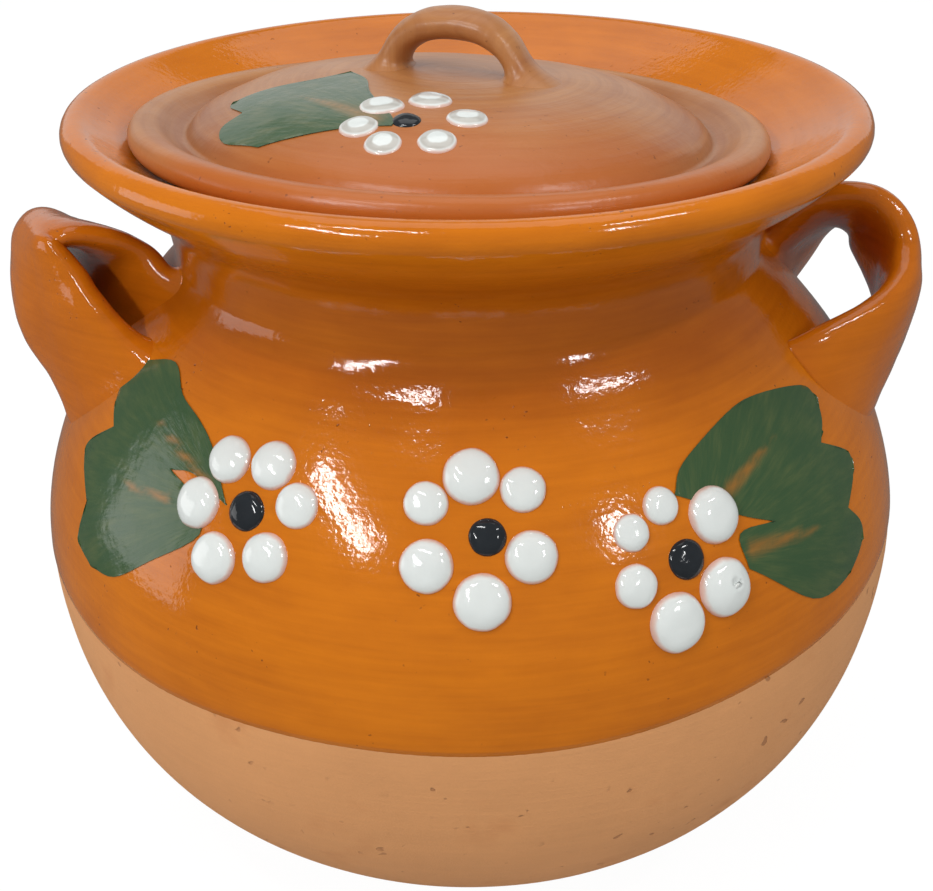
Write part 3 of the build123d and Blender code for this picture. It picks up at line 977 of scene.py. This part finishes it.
class LidForm:
    """The lid's outline, drawn level."""

    def __init__(self, settings, pot):
        self.s = settings
        self.edge = settings.radius - settings.roll
        reach = pot.seat_radius - LID_CLEARANCE - settings.roll
        self.edge_height = pot.seat_height - math.sqrt(reach ** 2 - self.edge ** 2)
        self.crest = Vector((self.edge, self.edge_height + settings.roll))
        self.ring = Vector((settings.radius - settings.brim, self.crest.y - settings.ring_depth))
        self.top = Vector((0, self.crest.y + settings.dome_height))
        self.seat_height = pot.seat_height

    def dome(self, drop, count):
        """From the sunk ring up to the middle."""
        radius = self.ring.x
        arms = [share_of * radius for share_of in DOME_ARM_SHARES]
        ring = self.ring - UP * drop
        top = self.top - UP * drop
        knee = Vector((
            radius * DOME_KNEE_SHARES[0],
            self.crest.y + self.s.dome_height * DOME_KNEE_SHARES[1] - drop,
        ))
        way = polar(1, DOME_KNEE_ANGLE)
        lower = bezier(ring, polar(arms[0], DOME_FOOT_ANGLE), -way * arms[1], knee, count)
        return lower + bezier(knee, way * arms[2], OUT * arms[3], top, 2 * count)

    def dish(self, start, end, count):
        arm = OUT * ((start.x - end.x) / 2)
        return bezier(start, -arm, arm + UP * (start.y - end.y) * BRIM_SAG, end, count)

    def outline(self):
        under = self.crest - UP * 2 * self.s.roll
        ring_under = self.ring - UP * self.s.wall
        centre = Vector((self.edge, self.edge_height))
        roll = arc(centre, self.s.roll, -math.pi / 2, math.pi / 2, DOME_STEPS)
        top = self.dish(self.crest, self.ring, BRIM_STEPS) + self.dome(0, DOME_STEPS)
        below = self.dome(self.s.wall, UNDER_STEPS)[::-1] + [ring_under]
        below += self.dish(under, ring_under, UNDER_STEPS)[::-1][1:]
        return top[::-1] + [self.crest] + roll[::-1][1:] + [under] + below[::-1][1:]

    def seated(self):
        """The matrix that slides the level lid on its seat."""
        to_centre = Matrix.Translation((0, 0, self.seat_height))
        front = Matrix.Rotation(-self.s.tilt_front, 4, "X")
        side = Matrix.Rotation(self.s.tilt_side, 4, "Y")
        return to_centre @ front @ side @ to_centre.inverted()


class CLAYPOT_OT_lid(bpy.types.Operator):
    """Throw the lid and set it on its seat"""

    bl_idname = "claypot.lid"
    bl_label = "Lid"

    def execute(self, context):
        settings = context.scene.claypot_lid
        form = LidForm(settings, context.scene.claypot_pot)
        piece = lathe("clay_lid", form.outline(), TURN_STEPS)
        for vertex in piece.data.vertices:
            point = vertex.co
            rings = noise.noise(Vector((point.length * LID_RINGS_FINE, 3, 1)))
            lumps = noise.noise(point * LID_LUMPS_FINE)
            within = (form.ring.x - math.hypot(point.x, point.y)) / LID_CALM_WIDTH + 1
            stray_up = rings * LID_RINGS_DEPTH + lumps * LID_LUMPS_DEPTH
            vertex.co.z += stray_up * min(1, max(0, within))
        piece.data.transform(form.seated())
        finished(piece, "lid", lid_finish(settings, form), "lid_clay", "lid")
        return {"FINISHED"}


def lid_finish(settings, form):
    """Thin satin glaze over terracotta, with turning rings about the lid's own middle, painted
    shade in the sunk ring and painted sheen over the top and back.
    """
    finish = material("lid_glaze")
    middle = form.seated() @ Vector((0, 0, form.top.y))
    centred = finish.node(
        "ShaderNodeVectorMath", {"operation": "SUBTRACT"}, {0: finish.place, 1: middle[:]}
    )
    x, y, _ = finish.axes(centred)
    radius = (x ** 2.0 + y ** 2.0) ** 0.5
    turned = finish.node("ShaderNodeCombineXYZ", None, {0: x * 18, 1: y * 18, 2: radius * 420})
    rings = finish.noise(1.0, 4.0, 0.6, turned)
    cloud = finish.noise(26, 3.0, 0.6)
    # Painted shade in the sunk ring.
    hollow = radius.rise(0.050, 0.060) * (1 - radius.rise(0.068, 0.074)) * 0.25
    depth = (cloud * 0.7 + rings * 0.9 + hollow - 0.40).rise(0.0, 1.0)
    base = finish.mix(depth, settings.clay[:], settings.deep[:])
    # Painted sheen: the greyer lid clay stands for sheen over the top and back, and towards the
    # front, where less sheen falls, the lid takes the more orange lid glaze.
    front = (y * -1.0 + cloud * 0.02).rise(0.030, 0.080) * 0.95
    base = finish.mix(front, base, settings.glaze[:])
    specks = finish.noise(760, 1.0).rise(0.73, 0.79) * 0.5
    speckled = finish.mix(specks, base, LID_SPECK)
    normal = finish.relief(
        (finish.noise(170, 3.0), 0.00022), (rings, 0.00017), (finish.noise(800), 0.00003)
    )
    roughness = 0.22 + cloud * 0.20
    return finish.surface(Base_Color=speckled, Roughness=roughness, Normal=normal, IOR=GLAZE_IOR)


class CLAYPOT_OT_loop(bpy.types.Operator):
    """Pull the lid's loop and lute it onto the dome"""

    bl_idname = "claypot.loop"
    bl_label = "Lid loop"

    def execute(self, context):
        settings = context.scene.claypot_lid
        form = LidForm(settings, context.scene.claypot_pot)
        tree = tree_of(bpy.data.objects["clay_lid"])
        along = level(settings.loop_turn)
        across = level(settings.loop_turn + math.pi / 2)
        base = LOOP_SHIFT + AXIS * form.top.y
        seated = form.seated()
        rows = []
        for side_share, up_share, width, thickness in LOOP_SHARES:
            offset = along * side_share * settings.loop_span + AXIS * up_share * settings.loop_rise
            sizes = (settings.loop_width * width, settings.loop_thickness * thickness)
            rows.append(Vector((*(seated @ (base + offset)), *sizes)))
        rows = spline(rows, STATION_STEPS)
        centres = [Vector(row[:3]) for row in rows]
        rings = [
            section(centre, way, across, 0.0, *row[3:], LOOP_SQUARE)
            for centre, way, row in zip(centres, ways_along(centres), rows)
        ]
        piece = clay_band("lid_loop", rings, tree, LOOP_FLARE, LOOP_SINK, LOOP_FREE)
        finished(piece, "lid", bpy.data.materials["lid_glaze"], "lid_clay", "lid_handle")
        return {"FINISHED"}


# Enamel.

LEFT_DOT_SHARES = [
    (132, 1.00, 0.92), (74, 0.89, 0.92), (18, 0.97, 0.85),
    (-50, 0.92, 0.93), (-114, 1.10, 0.98), (-172, 1.08, 0.99),
]
MIDDLE_DOT_SHARES = [
    (104, 1.02, 1.02), (50, 0.98, 0.83), (-27, 0.83, 0.95),
    (-96, 1.13, 1.03), (-154, 1.16, 0.97), (152, 1.16, 0.80),
]
RIGHT_DOT_SHARES = [
    (103, 1.00, 0.72), (144, 1.11, 0.70), (-167, 1.07, 0.82),
    (-111, 1.15, 1.12), (-47, 0.97, 1.12), (37, 0.96, 1.08),
]
LID_DOT_SHARES = [
    (125, 0.81, 0.87), (67, 1.01, 0.85), (6, 1.06, 0.79),
    (-52, 0.88, 0.72), (-119, 0.78, 0.70), (-172, 0.83, 0.74),
]
LID_FLOWER_SHARES = (-0.14, -0.64)
# Each flower on the pot: its name, azimuth in degrees, height, dots and the centre's diameter.
POT_FLOWERS = [
    ("flower_left", 241.7, 0.1397, LEFT_DOT_SHARES, 0.0091),
    ("flower_middle", 272.0, 0.1405, MIDDLE_DOT_SHARES, 0.0082),
    ("flower_right", 295.5, 0.1313, RIGHT_DOT_SHARES, 0.0090),
]
LID_CENTRE = 0.0066
LID_SEED = 9
RING_SHARE = 0.75
DROP_SINK = 0.00025
DROP_SHOULDER = 0.55
PETAL_FLATNESS, CENTRE_FLATNESS = 2.6, 2.4
CRATER_DOT = 4
CRATER_SHIFT = (0.0012, 0.0010)
CRATER_REACH, CRATER_DEPTH = 0.0017, 0.0011


def face_matrix(place, normal, azimuth):
    """Axes on a face: x runs round the pot, y up the slope and z out."""
    across = level(azimuth + math.pi / 2)
    across = (across - normal * across.dot(normal)).normalized()
    return axes_matrix(across, normal.cross(across), normal, place)


def pot_place(tree, azimuth, height):
    """A matrix on the pot's glazed face at an azimuth and a height."""
    way = level(azimuth)
    place, normal, _, _ = tree.ray_cast(way * 0.3 + AXIS * height, -way)
    return face_matrix(place, normal, azimuth)


def lid_place(tree, x, y):
    """A matrix on the lid's top at a point given across and along it."""
    place, normal, _, _ = tree.ray_cast(Vector((x, y, 0.3)), -AXIS)
    return face_matrix(place, normal, math.atan2(y, x))


def enamel_drop(matrix, diameter, height, seed, flat):
    """One set drop of enamel: round-shouldered, a little uneven, on a face."""
    deselect()
    bpy.ops.mesh.primitive_uv_sphere_add(segments=40, ring_count=24, radius=diameter / 2)
    piece = bpy.context.active_object
    edit_all()
    bpy.ops.mesh.bisect(
        plane_co=(0, 0, 0), plane_no=(0, 0, 1), clear_inner=True, use_fill=True, threshold=1e-7
    )
    in_object()
    mesh = piece.data
    reached = mesh.attributes.new("reach", "FLOAT", "POINT")
    for vertex in mesh.vertices:
        point = vertex.co
        reach = min(1, math.hypot(point.x, point.y) / (diameter / 2))
        around = math.atan2(point.y, point.x)
        lobe = Vector((math.cos(around), math.sin(around), seed * 7.3))
        ragged = 1 + 0.035 * noise.noise(lobe * 1.3) + 0.015 * noise.noise(lobe * 3.7)
        rise = (1 - reach ** flat) ** DROP_SHOULDER if point.z > 0 else 0
        swell = 1 + 0.16 * noise.noise(Vector((point.x, point.y, seed)) * (2.2 / diameter))
        reached.data[vertex.index].value = reach
        vertex.co = (point.x * ragged, point.y * ragged, height * rise * swell - DROP_SINK)
    mesh.transform(matrix)
    bpy.ops.object.shade_smooth_by_angle(angle=math.radians(60))
    return piece


def join(name, pieces):
    select(*pieces)
    bpy.ops.object.join()
    pieces[0].name = name
    bpy.ops.object.transform_apply(location=True, rotation=True, scale=True)
    return pieces[0]


def dent(piece, point, reach, depth):
    """Pushes in a small crater at a point of a piece."""
    for vertex in piece.data.vertices:
        gap = (vertex.co - point).length / reach
        if gap < 1.6:
            push = math.exp(-2.2 * gap * gap) - 0.30 * math.exp(-6 * (gap - 0.95) ** 2)
            vertex.co -= vertex.normal * depth * push


class CLAYPOT_OT_flowers(bpy.types.Operator):
    """Set the enamel flowers: six white dots and a dark centre each"""

    bl_idname = "claypot.flowers"
    bl_label = "Flowers"

    def execute(self, context):
        enamel = context.scene.claypot_enamel
        white = enamel_white("petal_white", enamel, 0.0)
        blue = enamel_blue("centre_blue", enamel)
        tree = tree_of(bpy.data.objects["clear_glaze"])
        for seed, (name, azimuth, height, dots, centre) in enumerate(POT_FLOWERS):
            middle = pot_place(tree, math.radians(azimuth), height)
            spots = []
            for degrees, distance, size in dots:
                flat = polar(enamel.flower_radius * distance, math.radians(degrees))
                spot = middle @ Vector((*flat, 0))
                matrix = pot_place(tree, math.atan2(spot.y, spot.x), spot.z)
                spots.append((matrix, enamel.dot * size))
            self.flower(name, "pot", spots, enamel.dot_height, middle, centre, seed, white, blue)
        lid = LidForm(context.scene.claypot_lid, context.scene.claypot_pot)
        lid_tree = tree_of(bpy.data.objects["clay_lid"])
        seated = lid.seated()

        def on_lid(flat):
            spot = seated @ Vector((*flat, lid.crest.y))
            return lid_place(lid_tree, spot.x, spot.y)

        middle = Vector(LID_FLOWER_SHARES) * lid.ring.x
        spots = []
        for degrees, distance, size in LID_DOT_SHARES:
            flat = middle + polar(enamel.flower_radius * distance, math.radians(degrees))
            spots.append((on_lid(flat), enamel.dot * size))
        ringed = enamel_white("lid_petal_white", enamel, RING_SHARE)
        self.flower(
            "lid_flower", "lid", spots, enamel.lid_dot_height, on_lid(middle), LID_CENTRE,
            LID_SEED, ringed, blue,
        )
        return {"FINISHED"}

    def flower(self, name, body, spots, height, middle, centre, seed, white, blue):
        drops = []
        for number, (matrix, diameter) in enumerate(spots):
            key = seed * 10 + number + 1
            drops.append(enamel_drop(matrix, diameter, diameter * height, key, PETAL_FLATNESS))
        petals = join(name + "_dots", drops)
        if name == "flower_right":
            matrix, diameter = spots[CRATER_DOT]
            rim = matrix @ Vector((*CRATER_SHIFT, diameter * height))
            dent(petals, rim, CRATER_REACH, CRATER_DEPTH)
        finished(petals, body, white, "petal_white", name + "_petals")
        rise = centre * bpy.context.scene.claypot_enamel.centre_height
        drop = enamel_drop(middle, centre, rise, seed + 50, CENTRE_FLATNESS)
        drop.name = name + "_eye"
        finished(drop, body, blue, "centre_blue", name + "_centre")


# Leaves: strokes from corner to corner, as shares of the leaf's length.

LEFT_LEAF_SHARES = [
    [(-0.36, 0.34), (-0.17, 0.39), (-0.03, 0.30), (0.12, 0.25), (0.25, 0.18), (0.41, 0.03)],
    [(0.41, 0.03), (0.22, 0.07), (0.10, 0.04)],
    [(0.10, 0.04), (0.24, 0.00), (0.35, -0.11), (0.15, -0.31), (-0.03, -0.45), (-0.21, -0.48)],
    [(-0.21, -0.48), (-0.35, -0.42), (-0.34, -0.27)],
    [(-0.34, -0.27), (-0.49, -0.13), (-0.50, -0.06), (-0.35, 0.05)],
    [(-0.35, 0.05), (-0.42, 0.12), (-0.45, 0.23), (-0.36, 0.34)],
]
RIGHT_LEAF_SHARES = [
    [(-0.42, 0.15), (-0.33, 0.24), (-0.05, 0.33), (0.14, 0.34), (0.42, 0.29), (0.48, 0.23)],
    [(0.48, 0.23), (0.45, 0.14), (0.37, 0.06)],
    [(0.37, 0.06), (0.51, -0.01), (0.55, -0.05), (0.52, -0.12), (0.40, -0.22)],
    [(0.40, -0.22), (0.48, -0.31), (0.45, -0.39), (0.28, -0.47), (0.05, -0.45), (-0.24, -0.21)],
    [(-0.24, -0.21), (-0.23, -0.08), (-0.06, -0.10)],
    [(-0.06, -0.10), (-0.20, -0.02), (-0.42, 0.15)],
]
LID_LEAF_SHARES = [
    [(-0.51, -0.06), (-0.42, -0.25), (-0.38, -0.52), (-0.26, -0.85), (-0.26, -0.93)],
    [(-0.26, -0.93), (-0.40, -0.92), (-0.68, -0.91), (-0.87, -0.91)],
    [(-0.87, -0.91), (-1.05, -0.76), (-1.09, -0.60), (-1.00, -0.51)],
    [(-1.00, -0.51), (-1.09, -0.31), (-0.94, -0.23), (-0.69, -0.17), (-0.51, -0.06)],
]

# Veins: start, end and half width, as shares of the leaf's length.
LEFT_VEINS = [((0.30, 0.06), (-0.25, 0.22), 0.035), ((0.15, -0.06), (-0.30, -0.14), 0.03)]
RIGHT_VEINS = [((-0.20, 0.08), (0.20, 0.20), 0.045), ((-0.2, -0.15), (0.30, -0.24), 0.05)]
LID_VEINS = [((-0.35, -0.85), (-0.85, -0.35), 0.09)]

# Each leaf on the pot: its side, azimuth in degrees, height, strokes, veins and root.
POT_LEAVES = [
    ("left", 224.5, 0.1394, LEFT_LEAF_SHARES, LEFT_VEINS, (0.45, 0.03)),
    ("right", 311.1, 0.1370, RIGHT_LEAF_SHARES, RIGHT_VEINS, (-0.45, -0.1)),
]
LID_LEAF_ROOT = (-0.2, -1.0)
SHOWN_ON_POT, SHOWN_ON_LID = 0.38, 0.45
STROKE_STEPS = 5
LEAF_GRID = 44
LEAF_GRID_SHARE = 1.3
LEAF_THICKNESS = 1.6
FEWEST_POINTS = 100


def leaf(name, tree, matrix, strokes, size, film, veins, root_share):
    """A painted film on a face: a grid cut to the leaf's outline and laid onto the face."""
    outline = []
    for stroke in strokes:
        outline += spline([Vector(point) * size for point in stroke], STROKE_STEPS)[:-1]
    middle = sum(outline, Vector((0, 0))) / len(outline)
    deselect()
    bpy.ops.mesh.primitive_grid_add(
        x_subdivisions=LEAF_GRID, y_subdivisions=LEAF_GRID, size=LEAF_GRID_SHARE * size,
        location=(*middle, 0),
    )
    piece = bpy.context.active_object
    piece.name = name
    bpy.ops.object.transform_apply(location=True, rotation=False, scale=False)
    bpy.ops.mesh.primitive_circle_add(vertices=len(outline), radius=size, fill_type="NGON")
    block = bpy.context.active_object
    for vertex, point in zip(block.data.vertices, outline):
        vertex.co = (point.x, point.y, -MM)
    edit_all()
    bpy.ops.mesh.extrude_region_move(TRANSFORM_OT_translate={"value": (0, 0, 2 * MM)})
    face_outwards()
    add_modifier(piece, "SOLIDIFY", thickness=MM, offset=0)
    add_modifier(piece, "BOOLEAN", operation="INTERSECT", object=block, solver="EXACT")
    bpy.data.objects.remove(block)
    select(piece)
    edit_all()
    bpy.ops.mesh.bisect(plane_co=(0, 0, 0), plane_no=(0, 0, 1), clear_inner=True)
    bpy.ops.mesh.select_all(action="SELECT")
    bpy.ops.mesh.bisect(
        plane_co=(0, 0, 0.4 * MM), plane_no=(0, 0, 1), clear_inner=True, threshold=1e-6
    )
    in_object()
    mesh = piece.data
    if len(mesh.vertices) < FEWEST_POINTS:
        raise RuntimeError(f"the leaf {name} came out empty")
    mesh.attributes.new("stroke", "FLOAT_VECTOR", "POINT")
    mesh.attributes.new("vein", "FLOAT", "POINT")
    stroke, vein = mesh.attributes["stroke"], mesh.attributes["vein"]
    root = Vector(root_share) * size
    out = matrix.to_3x3() @ AXIS
    for vertex in mesh.vertices:
        flat = vertex.co.xy
        away = flat - root
        around = (middle - root).angle_signed(away)
        stroke.data[vertex.index].vector = (away.length / size * 3, around, 0)
        vein.data[vertex.index].value = vein_share(flat / size, veins)
        place, normal, _, _ = tree.ray_cast(matrix @ Vector((*flat, 0.03)), -out)
        vertex.co = place + normal * film
    add_modifier(piece, "SOLIDIFY", thickness=film * LEAF_THICKNESS, offset=-1)
    bpy.ops.object.shade_smooth_by_angle(angle=math.radians(50))
    return piece


def vein_share(point, veins):
    """1 on a vein, falling to 0 beside it."""
    most = 0
    for start, end, half_width in veins:
        start, end = Vector(start), Vector(end)
        along = end - start
        place = max(0, min(1, (point - start).dot(along) / along.length_squared))
        gap = (point - start - along * place).length
        taper = half_width * (1.1 - place)
        most = max(most, (1 - gap / taper) * min(1, 2 - 2 * place))
    return most


class CLAYPOT_OT_leaves(bpy.types.Operator):
    """Brush the three leaves onto the pot and the lid"""

    bl_idname = "claypot.leaves"
    bl_label = "Leaves"

    def execute(self, context):
        enamel = context.scene.claypot_enamel
        pot = context.scene.claypot_pot
        tree = tree_of(bpy.data.objects["clear_glaze"])
        paint = leaf_paint(
            "leaf_green", enamel.green[:], enamel.pale_green[:], pot.glaze[:], SHOWN_ON_POT
        )
        for side, azimuth, height, strokes, veins, root in POT_LEAVES:
            piece = leaf(
                side + "_leaf", tree, pot_place(tree, math.radians(azimuth), height),
                strokes, enamel.leaf, enamel.leaf_film, veins, root,
            )
            finished(piece, "pot", paint, "leaf_green", "leaf_" + side)
        settings = context.scene.claypot_lid
        lid = LidForm(settings, pot)
        paint = leaf_paint(
            "lid_leaf_green", enamel.lid_green[:], enamel.lid_pale_green[:], settings.clay[:],
            SHOWN_ON_LID,
        )
        piece = leaf(
            "leaf_on_lid", tree_of(bpy.data.objects["clay_lid"]),
            lid.seated() @ Matrix.Translation((0, 0, lid.crest.y)),
            LID_LEAF_SHARES, enamel.lid_leaf, enamel.leaf_film, LID_VEINS, LID_LEAF_ROOT,
        )
        finished(piece, "lid", paint, "leaf_green", "lid_leaf")
        return {"FINISHED"}


# Stage.

POT_MIDDLE = (0, 0, 0.12)

# Each lamp: its name, the setting of its shine, the spot it looks at, its azimuth and elevation
# from there in degrees, its distance, its width and height, and its lean in degrees. A small
# lamp's spot is the one on the pot that mirrors it.
LAMPS = [
    ("left_high_lamp", "lamp", (-0.018, -0.082, 0.161), -128, 62, 0.75, (0.28, 0.036), 0),
    ("left_low_lamp", "lamp", (-0.026, -0.096, 0.143), -130, 38, 0.75, (0.05, 0.33), 58),
    ("right_high_lamp", "lamp", (0.034, -0.076, 0.162), -23, 53, 0.75, (0.22, 0.036), -24),
    ("right_low_lamp", "lamp", (0.033, -0.096, 0.141), -46, 33, 0.75, (0.07, 0.10), -10),
    ("left_window", "window", POT_MIDDLE, -174, 6, 0.90, (0.45, 0.45), 0),
    ("top_lamp", "top", POT_MIDDLE, 90, 75, 1.10, (1.00, 0.80), 0),
    ("back_card", "back", POT_MIDDLE, 90, 22, 1.30, (2.40, 0.90), 0),
]
FLOOR_SIZE = 12
FLOOR_SEEN, FLOOR_SEEN_SHARE, FLOOR_MIRRORED = 1.07, 0.9, 0.16
SKY_SEEN, SKY_MIRRORED = 1.0, 0.18
CLIP_START = 0.01


class CLAYPOT_OT_stage(bpy.types.Operator):
    """Set up the floor, the lamps, the sky and the camera"""

    bl_idname = "claypot.stage"
    bl_label = "Stage"

    def execute(self, context):
        stage = context.scene.claypot_stage
        context.scene.view_settings.view_transform = "Standard"
        self.camera(context, stage)
        self.floor(stage)
        self.sky(context, stage)
        for name, shine, *placing in LAMPS:
            self.lamp(name, getattr(stage, shine + "_shine"), *placing)
        return {"FINISHED"}

    def camera(self, context, stage):
        pitch, yaw, roll = stage.camera_pitch, stage.camera_yaw, stage.camera_roll
        ahead = Vector((
            math.sin(yaw) * math.cos(pitch), math.cos(yaw) * math.cos(pitch), -math.sin(pitch)
        ))
        right = ahead.cross(AXIS).normalized()
        upright = right.cross(ahead)
        across = right * math.cos(roll) + upright * math.sin(roll)
        above = upright * math.cos(roll) - right * math.sin(roll)
        place = (0, -stage.camera_back, stage.camera_height)
        bpy.ops.object.camera_add()
        camera = bpy.context.active_object
        camera.matrix_world = axes_matrix(across, above, -ahead, place)
        camera.data.sensor_fit = "HORIZONTAL"
        camera.data.lens = stage.focal_px * camera.data.sensor_width / IMAGE_WIDTH_PX
        camera.data.clip_start = CLIP_START
        context.scene.camera = camera

    def floor(self, stage):
        deselect()
        bpy.ops.mesh.primitive_plane_add(size=FLOOR_SIZE)
        floor = bpy.context.active_object
        floor.name = "floor"
        finish = material("pale_floor")
        seen = finish.node("ShaderNodeLightPath", out="Is Camera Ray")
        mirrored = finish.node("ShaderNodeLightPath", out="Is Glossy Ray")
        matte = finish.node("ShaderNodeBsdfDiffuse", None, {"Color": opaque(stage.floor[:])})
        white = finish.node("ShaderNodeEmission", None, {"Strength": FLOOR_SEEN})
        dim = finish.node("ShaderNodeEmission", None, {"Strength": FLOOR_MIRRORED})
        shader = finish.either(seen * FLOOR_SEEN_SHARE, matte, white)
        floor.data.materials.append(finish.output(finish.either(mirrored, shader, dim)))

    def sky(self, context, stage):
        context.scene.world = bpy.data.worlds.new("studio")
        finish = Finish(context.scene.world)
        lit, dim, seen = (
            finish.node("ShaderNodeBackground", None, {"Color": (1, 1, 1, 1), "Strength": power})
            for power in (stage.sky, SKY_MIRRORED, SKY_SEEN)
        )
        mirrored = finish.node("ShaderNodeLightPath", out="Is Glossy Ray")
        direct = finish.node("ShaderNodeLightPath", out="Is Camera Ray")
        shader = finish.either(direct, finish.either(mirrored, lit, dim), seen)
        finish.output(shader, "ShaderNodeOutputWorld")

    def lamp(self, name, shine, spot, azimuth, elevation, distance, size, lean):
        """A soft rectangular lamp, as wide and high as size says, that looks at a spot."""
        high = math.radians(elevation)
        way = level(math.radians(azimuth)) * math.cos(high) + AXIS * math.sin(high)
        bpy.ops.object.light_add(type="AREA")
        lamp = bpy.context.active_object
        lamp.name = name
        lamp.data.shape = "RECTANGLE"
        lamp.data.size, lamp.data.size_y = size
        lamp.data.energy = shine * size[0] * size[1] * math.pi
        aim = way.to_track_quat("Z", "Y").to_matrix().to_4x4()
        lamp.matrix_world = (
            Matrix.Translation(Vector(spot) + way * distance)
            @ aim @ Matrix.Rotation(math.radians(lean), 4, "Z")
        )


class CLAYPOT_PT_panel(bpy.types.Panel):
    """Buttons for every piece of the pot, and their sizes and colours"""

    bl_idname = "CLAYPOT_PT_panel"
    bl_label = "Clay Pot"
    bl_space_type = "VIEW_3D"
    bl_region_type = "UI"
    bl_category = "Clay Pot"

    def draw(self, context):
        for operator in OPERATORS:
            self.layout.operator(operator.bl_idname)
        for name, group in SETTINGS.items():
            box = self.layout.box()
            for key in group.__annotations__:
                box.prop(getattr(context.scene, name), key)


SETTINGS = {
    "claypot_pot": PotSettings,
    "claypot_handles": HandleSettings,
    "claypot_lid": LidSettings,
    "claypot_enamel": EnamelSettings,
    "claypot_stage": StageSettings,
}
OPERATORS = [
    CLAYPOT_OT_pot,
    CLAYPOT_OT_glaze,
    CLAYPOT_OT_handles,
    CLAYPOT_OT_lid,
    CLAYPOT_OT_loop,
    CLAYPOT_OT_flowers,
    CLAYPOT_OT_leaves,
    CLAYPOT_OT_stage,
]


def register():
    for group in [*SETTINGS.values(), *OPERATORS, CLAYPOT_PT_panel]:
        bpy.utils.register_class(group)
    for name, group in SETTINGS.items():
        setattr(bpy.types.Scene, name, PointerProperty(type=group))


def unregister():
    for name in SETTINGS:
        delattr(bpy.types.Scene, name)
    for group in [CLAYPOT_PT_panel, *reversed(OPERATORS), *SETTINGS.values()]:
        bpy.utils.unregister_class(group)


def main():
    register()
    for operator in OPERATORS:
        group, name = operator.bl_idname.split(".")
        getattr(getattr(bpy.ops, group), name)()


if __name__ == "__main__":
    main()
